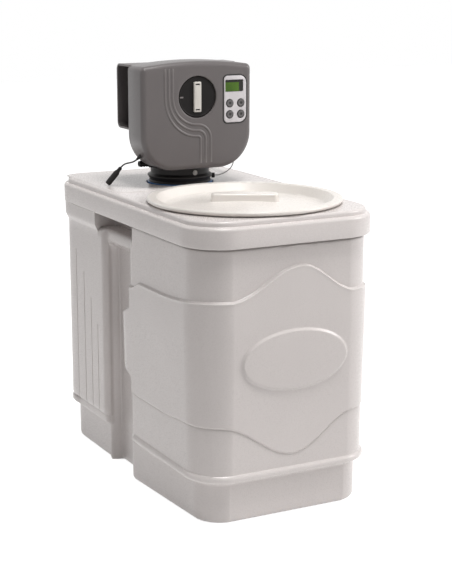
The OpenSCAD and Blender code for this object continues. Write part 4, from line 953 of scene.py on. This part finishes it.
# Salt lid: a dished round lid with a bar handle
lid = {
    "radius": 145.5, "under": 446.0, "top": 452.0, "dish": 440.0, "dishRadius": 121.0, "wall": 3.0,
    "rimInner": 131.5, "dome": 6.0, "domeRadius": 112.0, "dishRound": 5.0, "rimRound": 3.0,
    "dishOut": 4.0, "rimOut": 1.2, "rimFlat": 4.0,
    "skirt": 128.0, "skirtLow": 434.0, "foot": (134.0, 138.0), "footLow": 444.3,
    "barLength": 100.0, "barWidth": 22.0, "barTop": 456.6, "barTurn": -27.5,
    "barCorner": 7.0, "barRound": 3.5,
    "barFoot": [(-1.5, -0.5), (-1.5, 4.0), (-0.4, 8.0)],
}


def lidProfile():
    top = lid["top"]
    under = lid["under"]
    dish = lid["dish"]
    r = lid["dishRadius"]
    soft = lid["dishRound"]
    inner = lid["rimInner"]
    rim = lid["rimRound"]
    edge = lid["radius"]
    thick = (top - under) / 2
    reach = lid["domeRadius"]
    skirt = lid["skirt"]
    wall = lid["wall"]
    footIn, footOut = lid["foot"]
    profile = [(reach * t, dish + lid["dome"] * (1 - t * t)) for t in steps(12)]
    profile += [(reach, dish), (r - soft, dish)]
    profile += arc(r - lid["dishOut"], dish + soft, soft, -80, -45, 4)
    profile += arc(inner + lid["rimOut"], top - rim, rim, 135, 90, 4)
    profile += [(inner + lid["rimFlat"], top), (edge - thick - rim, top)]
    profile += arc(edge - thick, top - thick, thick, 90, -90, 8)
    profile += [(footOut, under), (footOut, lid["footLow"]), (footIn, lid["footLow"])]
    profile += [(footIn, under), (skirt, under), (skirt, lid["skirtLow"])]
    profile += [(skirt - wall, lid["skirtLow"]), (skirt - wall, dish - wall), (0, dish - wall)]
    return profile


def makeLid():
    shape = newShape()
    addRows(shape, latheRows(lidProfile(), 160, (0, lidY)))
    turn = math.radians(lid["barTurn"])
    soft = lid["barRound"]
    edges = [(inset, lid["dish"] + z) for inset, z in lid["barFoot"]]
    edges += [(soft - x, lid["barTop"] - soft + z) for x, z in arc(0, 0, soft, 0, 90, 6)]
    rows = []
    for inset, z in edges:
        halfX = lid["barLength"] / 2 - inset
        halfY = lid["barWidth"] / 2 - inset
        loop = roundPlan(halfX, halfY, lid["barCorner"] - inset, (0, 0), 8)
        rows.append([
            (x * math.cos(turn) - a * math.sin(turn), lidY + x * math.sin(turn) + a * math.cos(turn), z)
            for x, a in loop
        ])
    addSolid(shape, rows)
    makePiece("dished_lid", shape, "lid", "lid", ["salt_lid"])


makeLid()
print("lid made")

# Front hood of the control head, with the knob's recess and the panel's opening
hood = {
    "half": 95.0, "bottom": hoodLow.z, "sideTop": hoodHigh.z - 6.0, "crown": 6.0,
    "lowRound": 55.0, "topRound": 8.0, "front": 34.0, "back": 86.0, "edge": 8.0, "wall": 3.0,
    "backEase": [(0.6, 0.0), (0.15, 0.15), (0.0, 0.6)], "sideStart": 14.0, "faceInset": 2.0,
    "webSpan": (3.5, 0.5),
    "knob": (0.0, 585.0), "knobHole": 32.4, "knobEase": [(3.0, 0.0), (1.4, 0.0), (0.5, 0.4), (0.0, 1.2)],
    "panel": (65.5, 579.5), "panelHalf": (19.5, 36.5), "panelRound": (6.0, 12.0), "panelGap": 0.2,
    "panelFlat": 1.8,
}


def hoodLoop(inset):
    half = hood["half"] - inset
    lowR = hood["lowRound"] - inset
    topR = max(hood["topRound"] - inset, 2.0)
    low = hood["bottom"] + inset
    top = hood["sideTop"] - inset
    flat = half - topR
    crown = hood["crown"]
    crownR = (flat * flat + crown * crown) / (2 * crown)
    sideShares = (0.25, 0.5, 0.75)
    loop = [(x * (half - lowR) / 6, low) for x in range(-5, 6)]
    loop += arc(half - lowR, low + lowR, lowR, -90, 0, 22)
    loop += [(half, mixed(low + lowR, top - topR, t)) for t in sideShares]
    loop += arc(flat, top - topR, topR, 0, 90, 6)[:-1]
    for i in range(21):
        x = flat * (1 - i / 10)
        loop.append((x, top + crown - crownR + math.sqrt(crownR * crownR - x * x)))
    loop += arc(-flat, top - topR, topR, 90, 180, 6)[1:]
    loop += [(-half, mixed(low + lowR, top - topR, t)) for t in reversed(sideShares)]
    loop += arc(-(half - lowR), low + lowR, lowR, 180, 270, 22)
    return loop


def panelLoop(inset):
    x, z = hood["panel"]
    halfX, halfZ = (v - inset for v in hood["panelHalf"])
    loop = []
    for signX, signZ, start in ((1, -1, -90), (1, 1, 0), (-1, 1, 90), (-1, -1, 180)):
        r = max(hood["panelRound"][1 if signX > 0 else 0] - inset, 0.6)
        loop += arc(x + signX * (halfX - r), z + signZ * (halfZ - r), r, start, start + 90, 10)
    return loop


def makeFrontHood():
    shape = newShape()
    front = hood["front"]
    back = hood["back"]
    edge = hood["edge"]
    wall = hood["wall"]
    face = edge + hood["faceInset"]
    stations = [(wall, back)] + [(inset, back - d) for inset, d in hood["backEase"]]
    stations += [(0, front + edge + hood["sideStart"])]
    stations += [(edge - x, front + edge - y) for x, y in arc(0, 0, edge, 0, 90, 8)]
    stations += [(face, front)]
    outer = [facing(hoodLoop(i), y) for i, y in stations]
    addRows(shape, outer)
    inside = [(wall, back), (wall, front + edge), (face, front + wall)]
    inner = [facing(hoodLoop(i), y) for i, y in inside]
    addRows(shape, inner)
    # a web closes the crown above the rear hood
    under = hood["sideTop"] - wall - 0.01
    crownLine = [p for p in hoodLoop(wall) if p[1] > under]
    addSolid(shape, [facing(crownLine, back - d) for d in hood["webSpan"]])
    knobX, knobZ = hood["knob"]
    hole = hood["knobHole"]
    rings = [(hole + out, deep) for out, deep in hood["knobEase"]] + [(hole, wall)]
    knobRows = [facing(circle(knobX, knobZ, r), front + d) for r, d in rings]
    addRows(shape, knobRows)
    gap = -hood["panelGap"]
    opening = [(gap - hood["panelFlat"], 0), (gap, 0), (gap, wall)]
    panelRows = [facing(panelLoop(i), front + d) for i, d in opening]
    addRows(shape, panelRows)
    addFill(shape, [outer[-1], knobRows[0], panelRows[0]])
    addFill(shape, [inner[-1], knobRows[-1], panelRows[-1]])
    makePiece("hood_front_shell", shape, "hood", "cabinet", ["front_hood"])


makeFrontHood()
print("front hood made")


# Geometry Nodes: a tree ends in Realize Instances and Set Material, and its result becomes a plain mesh
def newGrowth(name, inputs):
    ends = ("Geometry", "NodeSocketGeometry")
    sockets = [(*ends, None)] + inputs + [("Finish", "NodeSocketMaterial", None)]
    return newTree(name, "GeometryNodeTree", sockets, [ends])


def closeGrowth(tree, given, result, last, output):
    real = addNode(tree, "GeometryNodeRealizeInstances")
    finish = addNode(tree, "GeometryNodeSetMaterial")
    wire(
        tree,
        (last, output, real, "Geometry"),
        (real, "Geometry", finish, "Geometry"),
        (given, "Finish", finish, "Material"),
        (finish, "Geometry", result, "Geometry"),
    )
    return tree


def makeRidgeTree():
    tree, given, result = newGrowth("ridgeAlongPath", [
        ("Ridge Radius", "NodeSocketFloat", 0.002),
        ("Ridge Sides", "NodeSocketInt", 14),
    ])
    path = addNode(tree, "GeometryNodeMeshToCurve")
    section = addNode(tree, "GeometryNodeCurvePrimitiveCircle")
    sweep = addNode(tree, "GeometryNodeCurveToMesh", {"Fill Caps": True})
    wire(
        tree,
        (given, "Geometry", path, "Mesh"),
        (given, "Ridge Radius", section, "Radius"),
        (given, "Ridge Sides", section, "Resolution"),
        (path, "Curve", sweep, "Curve"),
        (section, "Curve", sweep, "Profile Curve"),
    )
    return closeGrowth(tree, given, result, sweep, "Mesh")


def makeRingTree():
    tree, given, result = newGrowth("ringsAlongPath", [
        ("Ring Count", "NodeSocketInt", 6),
        ("Ring Radius", "NodeSocketFloat", 0.01),
        ("Rib Radius", "NodeSocketFloat", 0.0006),
    ])
    path = addNode(tree, "GeometryNodeMeshToCurve")
    spread = addNode(tree, "GeometryNodeResampleCurve")
    ring = addNode(tree, "GeometryNodeCurvePrimitiveCircle", {"Resolution": 40})
    rib = addNode(tree, "GeometryNodeCurvePrimitiveCircle", {"Resolution": 10})
    sweep = addNode(tree, "GeometryNodeCurveToMesh")
    tangent = addNode(tree, "GeometryNodeInputTangent")
    turn = addNode(tree, "FunctionNodeAlignRotationToVector", axis="Z")
    scatter = addNode(tree, "GeometryNodeInstanceOnPoints")
    wire(
        tree,
        (given, "Geometry", path, "Mesh"),
        (path, "Curve", spread, "Curve"),
        (given, "Ring Count", spread, "Count"),
        (given, "Ring Radius", ring, "Radius"),
        (given, "Rib Radius", rib, "Radius"),
        (ring, "Curve", sweep, "Curve"),
        (rib, "Curve", sweep, "Profile Curve"),
        (tangent, "Tangent", turn, "Vector"),
        (spread, "Curve", scatter, "Points"),
        (sweep, "Mesh", scatter, "Instance"),
        (turn, "Rotation", scatter, "Rotation"),
    )
    return closeGrowth(tree, given, result, scatter, "Instances")


ridgeTree = makeRidgeTree()
ringTree = makeRingTree()


def growPiece(name, paths, tree, values, slot, body):
    guide = bpy.data.meshes.new(name + "Guide")
    points = []
    edges = []
    for path in paths:
        edges += [(len(points) + i, len(points) + i + 1) for i in range(len(path) - 1)]
        points += [[v * mm for v in p] for p in path]
    guide.from_pydata(points, edges, [])
    source = bpy.data.objects.new(name + "Source", guide)
    bpy.context.scene.collection.objects.link(source)
    grow = source.modifiers.new("grow", "NODES")
    grow.node_group = tree
    wanted = dict(values, Finish=finishes[slot])
    for socket in tree.interface.items_tree:
        if socket.in_out == "INPUT" and socket.name in wanted:
            grow[socket.identifier] = wanted[socket.name]
    ready = source.evaluated_get(bpy.context.evaluated_depsgraph_get())
    mesh = bpy.data.meshes.new_from_object(ready)
    source.modifiers.remove(grow)
    bpy.data.objects.remove(source)
    return dressMesh(name, mesh, slot, body)


# Three moulded ridges sweep round the knob and down the hood
ridges = {
    "across": [43.0, 49.5, 56.0], "down": [43.0, 52.0, 61.0], "turn": [22.5, 13.5, 4.5], "turnZ": 519.5,
    "top": 630.0, "bottom": 482.0, "radius": 3.0, "sink": 2.0,
}


def ridgePath(across, down, turn):
    knobZ = hood["knob"][1]
    quarter = [math.pi / 2 * t for t in steps(24)]
    path = [(-across, mixed(ridges["top"], knobZ, t)) for t in steps(8)]
    path += [(-across * math.cos(a), knobZ - down * math.sin(a)) for a in quarter]
    path += arc(0, ridges["turnZ"], turn, 90, 0, 14)
    path += [(turn, mixed(ridges["turnZ"], ridges["bottom"], (i + 1) / 5)) for i in range(5)]
    return [(x, hood["front"] + ridges["sink"], z) for x, z in path]


ridgePaths = [ridgePath(*sizes) for sizes in zip(ridges["across"], ridges["down"], ridges["turn"])]
growPiece("hood_ridges", ridgePaths, ridgeTree, {"Ridge Radius": ridges["radius"] * mm}, "hood", "cabinet")

# Rear hood: the model's own shape with its edges eased
rearHood = {"flatDegrees": 0.5, "ease": 0.9, "easeSteps": 3, "easeDegrees": 40}


def makeRearHood():
    mesh = cadNodes["rear_hood"].data.copy()
    work = bmesh.new()
    work.from_mesh(mesh)
    bmesh.ops.remove_doubles(work, verts=work.verts, dist=weld)
    flat = math.radians(rearHood["flatDegrees"])
    bmesh.ops.dissolve_limit(work, angle_limit=flat, verts=work.verts, edges=work.edges)
    work.to_mesh(mesh)
    work.free()
    source = bpy.data.objects.new("rearHoodSource", mesh)
    bpy.context.scene.collection.objects.link(source)
    ease = source.modifiers.new("ease", "BEVEL")
    ease.width = rearHood["ease"] * mm
    ease.segments = rearHood["easeSteps"]
    ease.limit_method = "ANGLE"
    ease.angle_limit = math.radians(rearHood["easeDegrees"])
    ready = source.evaluated_get(bpy.context.evaluated_depsgraph_get())
    result = bpy.data.meshes.new_from_object(ready)
    bpy.data.objects.remove(source)
    dressMesh("hood_rear_shell", result, "hood", "cabinet", ["rear_hood"])


makeRearHood()
print("ridges and rear hood made")

# Control panel: a silver plate in a dark seal, a display and four keys
panel = {
    "face": 33.2, "back": 37.0, "edge": 0.5, "edgeEase": 0.3,
    "sealWidth": 2.0, "sealProud": 0.6, "sealEase": (0.4, 0.3), "sealDeep": 1.5, "sealLow": 0.4,
    "window": (63.7, 600.2), "windowHalf": (15.9, 9.4), "windowRound": 1.4, "windowGap": 0.2,
    "windowFace": 34.2, "windowBack": 35.8, "windowEase": [(0.0, 0.4), (0.1, 0.1), (0.4, 0.0)],
}
# A key's radii with depths behind its face, then its stem with depths in the frame
keys = {
    "x": (55.75, 75.25), "z": (573.05, 555.55), "hole": 6.8, "face": 32.2, "ring": (2.2, 5.3),
    "cap": [(0, 0.5), (2.0, 0.5), (2.5, 0.2), (3.4, 0), (5.0, 0.05), (5.5, 0.25), (6.1, 0.5), (6.4, 1.1)],
    "stem": [(6.4, 37.4), (7.9, 37.5), (7.9, 39.2), (2.4, 39.4), (2.4, 42.6), (0, 42.6)],
}


def keyPlaces():
    return [(x, z) for z in keys["z"] for x in keys["x"]]


def makeSeal():
    front = hood["front"]
    gap = -hood["panelGap"]
    out = gap - panel["sealWidth"]
    proud = front - panel["sealProud"]
    inward, deeper = panel["sealEase"]
    section = [(gap, front + panel["sealDeep"]), (gap, proud + deeper), (gap - inward, proud)]
    section += [(out + inward, proud), (out, proud + deeper), (out, front + panel["sealLow"])]
    section += [section[0]]
    shape = newShape()
    addRows(shape, [facing(panelLoop(i), y) for i, y in section])
    makePiece("panel_seal", shape, "rubber", "cabinet")


def makePanelPlate():
    face = panel["face"]
    back = panel["back"]
    edge = panel["edge"]
    ease = edge * panel["edgeEase"]
    shape = newShape()
    stations = [(0, back), (0, face + edge), (ease, face + ease), (edge, face)]
    rim = [facing(panelLoop(i), y) for i, y in stations]
    addRows(shape, rim)
    halfX, halfZ = panel["windowHalf"]
    loops = [roundPlan(halfX, halfZ, panel["windowRound"], panel["window"], 4)]
    loops += [circle(x, z, keys["hole"], 40) for x, z in keyPlaces()]
    for loop in loops:
        addRows(shape, [facing(loop, face), facing(loop, back)])
    addFill(shape, [rim[-1]] + [facing(loop, face) for loop in loops])
    addFill(shape, [rim[0]] + [facing(loop, back) for loop in loops])
    makePiece("panel_plate", shape, "panel", "cabinet", ["control_panel"])


# Rows of a small plate that faces front, one for each inset and depth
def plateRows(halves, radius, middle, cornerSteps, stations):
    halfX, halfZ = halves
    rows = []
    for inset, y in stations:
        rows.append(facing(roundPlan(halfX - inset, halfZ - inset, radius, middle, cornerSteps), y))
    return rows


def makeDisplay():
    shape = newShape()
    halves = [v - panel["windowGap"] for v in panel["windowHalf"]]
    stations = [(0, panel["windowBack"])]
    stations += [(inset, panel["windowFace"] + deep) for inset, deep in panel["windowEase"]]
    addSolid(shape, plateRows(halves, panel["windowRound"], panel["window"], 4, stations))
    makePiece("display_glass", shape, "window", "cabinet", ["display_window"])


def makeKeys():
    profile = [(radius, keys["face"] + deep) for radius, deep in keys["cap"]] + keys["stem"]
    ringLow, ringHigh = keys["ring"]
    for i, (x, z) in enumerate(keyPlaces()):
        shape = newShape()
        addRows(shape, latheRows(profile, 40, (x, z), upright=False))
        key = makePiece("key_cap_" + str(i + 1), shape, "key", "key_" + "abcd"[i], ["key_" + str(i + 1)])
        ring = key.data.attributes.new("greyRing", "FLOAT", "POINT")
        for vertex in key.data.vertices:
            reach = math.hypot(vertex.co.x / mm - x, vertex.co.z / mm - z)
            ring.data[vertex.index].value = 1.0 if ringLow < reach < ringHigh else 0.0


makeSeal()
makePanelPlate()
makeDisplay()
makeKeys()
print("panel, display and keys made")

# Position knob with its light bar and pointer mark
knob = {
    "radius": 31.5, "face": 36.0, "back": 46.0, "sink": 0.5, "rim": 1.6, "flat": 6.0,
    "rimSlope": 0.8, "frontEase": 0.6, "backEase": 0.4,
    "barHalf": (6.3, 23.5), "barFace": 33.2, "barRound": 1.6, "barSink": 0.4,
    "barEase": [(0.0, 1.2), (0.3, 0.4), (0.9, 0.0)],
    "slotHalf": (4.0, 1.1), "slotOff": 19.6, "slotRound": 0.5,
    "markHalf": (3.2, 1.2), "markX": -27.0, "markProud": 0.5, "markRound": 0.6, "markSink": 0.3,
    "markEase": [(0.0, 0.2), (0.25, 0.0)],
}


def makeKnob():
    face = knob["face"]
    back = knob["back"]
    edge = knob["radius"]
    inner = edge - knob["rim"]
    floor = face + knob["sink"]
    front = knob["frontEase"]
    rear = knob["backEase"]
    profile = [(0, floor), (edge - knob["flat"], floor), (inner - knob["rimSlope"], floor), (inner, face)]
    profile += [(edge - front, face), (edge, face + front)]
    profile += [(edge, back - rear), (edge - rear, back), (0, back)]
    shape = newShape()
    addRows(shape, latheRows(profile, 120, hood["knob"], upright=False))
    makePiece("knob_disc", shape, "knob", "cam", ["position_knob"])


def makeBar():
    x, z = hood["knob"]
    face = knob["barFace"]
    low = knob["face"] + knob["barSink"]
    shape = newShape()
    stations = [(0, low)] + [(inset, face + deep) for inset, deep in knob["barEase"]]
    rows = plateRows(knob["barHalf"], knob["barRound"], (x, z), 5, stations)
    addRows(shape, rows)
    slotPlaces = [(x, z + side * knob["slotOff"]) for side in (-1, 1)]
    slots = [roundPlan(*knob["slotHalf"], knob["slotRound"], place, 3) for place in slotPlaces]
    for loop in slots:
        addRows(shape, [facing(loop, face), facing(loop, low)])
    addFill(shape, [rows[-1]] + [facing(loop, face) for loop in slots])
    addFill(shape, [rows[0]] + [facing(loop, low) for loop in slots])
    makePiece("bar_grip", shape, "knob_bar", "cam", ["knob_bar"])


def makeMark():
    x, z = hood["knob"]
    floor = knob["face"] + knob["sink"]
    stations = [(0, floor + knob["markSink"])]
    stations += [(inset, floor - knob["markProud"] + deep) for inset, deep in knob["markEase"]]
    shape = newShape()
    addSolid(shape, plateRows(knob["markHalf"], knob["markRound"], (x + knob["markX"], z), 4, stations))
    makePiece("knob_mark", shape, "hood", "cam")


makeKnob()
makeBar()
makeMark()
print("knob made")

# Collar and neck band under the head
collar = {
    "profile": [
        (40, 471), (45.6, 471), (47, 469.8), (47, 460.6), (48, 459.6), (50.8, 458.2), (51.8, 457.2),
        (51.8, 455.6), (51, 454.6), (49.4, 452.0), (48.4, 449.6), (48, 447.2), (48, 430), (45, 426),
        (40, 426), (40, 471),
    ],
    "band": [
        (48.1, 449.4), (48.8, 449.4), (49.6, 448.6), (49.6, 444.6), (50.4, 443.8), (50.4, 441.4),
        (48.1, 441.4), (48.1, 449.4),
    ],
}


def makeCollar():
    rings = [("collar_ring", "tank_adapter", collar["profile"]), ("neck_band", "neck_ring", collar["band"])]
    for name, node, profile in rings:
        shape = newShape()
        addRows(shape, latheRows(profile, 120, (0, neckY)))
        makePiece(name, shape, "black_plastic", "cabinet", [node])


makeCollar()

# In-line connector on the lead: a ribbed boot, a barrel and its socket
plug = {
    "profile": [
        (0, 0), (0, 1.6), (0.4, 2.3), (6, 2.8), (8, 3.5), (10, 4.3), (12, 4.7), (30.5, 4.7), (33.2, 4.5),
        (34, 3.9), (34, 2.0), (27, 2.0), (27, 0),
    ],
    "ribFrom": 1.2, "ribTo": 6.2, "ribs": {"count": 5, "ring": 2.7, "rib": 0.45},
}


def growRings(name, paths, rings):
    sizes = {"Ring Count": rings["count"], "Ring Radius": rings["ring"] * mm, "Rib Radius": rings["rib"] * mm}
    return growPiece(name, paths, ringTree, sizes, "black_plastic", "cabinet")


def makeConnector():
    start = Vector(leadCord["route"][-1])
    way = Vector(leadCord["plugWay"]).normalized()
    side = way.cross(Vector((0, 0, 1))).normalized()
    over = side.cross(way)
    shape = newShape()
    rows = []
    for along, radius in plug["profile"]:
        rows.append([tuple(start + way * along + side * a + over * b) for a, b in circle(0, 0, radius, 32)])
    addRows(shape, rows)
    barrel = makePiece("lead_plug", shape, "black_plastic", "cabinet", ["lead_connector"])
    path = [tuple(start + way * plug[end]) for end in ("ribFrom", "ribTo")]
    return [barrel, growRings("lead_plug_ribs", [path], plug["ribs"])]


plugPieces = makeConnector()

# Threads on the two ports at the back
ports = {"x": (-36.0, 36.0), "z": 512.0, "from": 157.0, "to": 171.5,
         "threads": {"count": 7, "ring": 16.3, "rib": 0.75}}
portPaths = [[(x, ports[end], ports["z"]) for end in ("from", "to")] for x in ports["x"]]
growRings("port_threads", portPaths, ports["threads"])
print("collar, connector and port threads made")

# Floor, light and background
stageLook = {"floorSize": 14.0, "floorColour": (0.9, 0.9, 0.9, 1), "roughness": 0.9, "specular": 0.1,
             "glow": 0.84}
ambient = {"colour": (1.0, 0.98, 0.97, 1), "strength": 0.22, "seen": (1, 1, 1, 1)}


def addStage():
    mesh = bpy.data.meshes.new("floor")
    half = stageLook["floorSize"] / 2
    corners = [(-half, -half, 0), (half, -half, 0), (half, half, 0), (-half, half, 0)]
    mesh.from_pydata(corners, [], [(0, 1, 2, 3)])
    floor = bpy.data.objects.new("floor", mesh)
    bpy.context.scene.collection.objects.link(floor)
    material = bpy.data.materials.new("paleFloor")
    material.use_nodes = True
    tree = material.node_tree
    shader = tree.nodes["Principled BSDF"]
    shader.inputs["Base Color"].default_value = stageLook["floorColour"]
    shader.inputs["Roughness"].default_value = stageLook["roughness"]
    shader.inputs["Specular IOR Level"].default_value = stageLook["specular"]
    glow = addNode(tree, "ShaderNodeEmission", {"Strength": stageLook["glow"]})
    rays = addNode(tree, "ShaderNodeLightPath")
    seen = addNode(tree, "ShaderNodeMath", operation="MAXIMUM")
    both = addNode(tree, "ShaderNodeAddShader")
    choice = addNode(tree, "ShaderNodeMixShader")
    wire(
        tree,
        (rays, "Is Camera Ray", seen, 0),
        (rays, "Is Glossy Ray", seen, 1),
        (shader, "BSDF", both, 0),
        (glow, "Emission", both, 1),
        (seen, 0, choice, "Fac"),
        (shader, "BSDF", choice, 1),
        (both, "Shader", choice, 2),
        (choice, "Shader", tree.nodes["Material Output"], "Surface"),
    )
    mesh.materials.append(material)


def addWorld():
    world = bpy.data.worlds.new("studio")
    bpy.context.scene.world = world
    world.use_nodes = True
    tree = world.node_tree
    air = tree.nodes["Background"]
    air.inputs["Color"].default_value = ambient["colour"]
    air.inputs["Strength"].default_value = ambient["strength"]
    white = addNode(tree, "ShaderNodeBackground", {"Color": ambient["seen"]})
    rays = addNode(tree, "ShaderNodeLightPath")
    first = addNode(tree, "ShaderNodeMath", operation="MAXIMUM")
    second = addNode(tree, "ShaderNodeMath", operation="MAXIMUM")
    choice = addNode(tree, "ShaderNodeMixShader")
    wire(
        tree,
        (rays, "Is Camera Ray", first, 0),
        (rays, "Is Glossy Ray", first, 1),
        (first, 0, second, 0),
        (rays, "Is Transmission Ray", second, 1),
        (second, 0, choice, "Fac"),
        (air, "Background", choice, 1),
        (white, "Background", choice, 2),
        (choice, "Shader", tree.nodes["World Output"], "Surface"),
    )


lamps = {
    "keyLamp": {"place": (2.7, -1.4, 1.8), "size": 1.2, "power": 53.0, "colour": (1, 0.98, 0.97)},
    "topLamp": {"place": (0.0, -0.8, 2.9), "size": 0.9, "power": 54.0, "colour": (1, 0.99, 0.98)},
    "sideLamp": {"place": (-1.9, 1.6, 2.2), "size": 1.2, "power": 10.0, "colour": (1, 0.97, 0.96)},
}
lampTarget = Vector((0, 0, 0.3))


def addLamps():
    for name, lamp in lamps.items():
        data = bpy.data.lights.new(name, "AREA")
        data.size = lamp["size"]
        data.energy = lamp["power"]
        data.color = lamp["colour"]
        piece = bpy.data.objects.new(name, data)
        piece.location = lamp["place"]
        piece.rotation_euler = (lampTarget - Vector(lamp["place"])).to_track_quat("-Z", "Y").to_euler()
        bpy.context.scene.collection.objects.link(piece)


addStage()
addWorld()
addLamps()
bpy.context.scene.view_settings.view_transform = "Standard"
print("stage, world and lamps made")
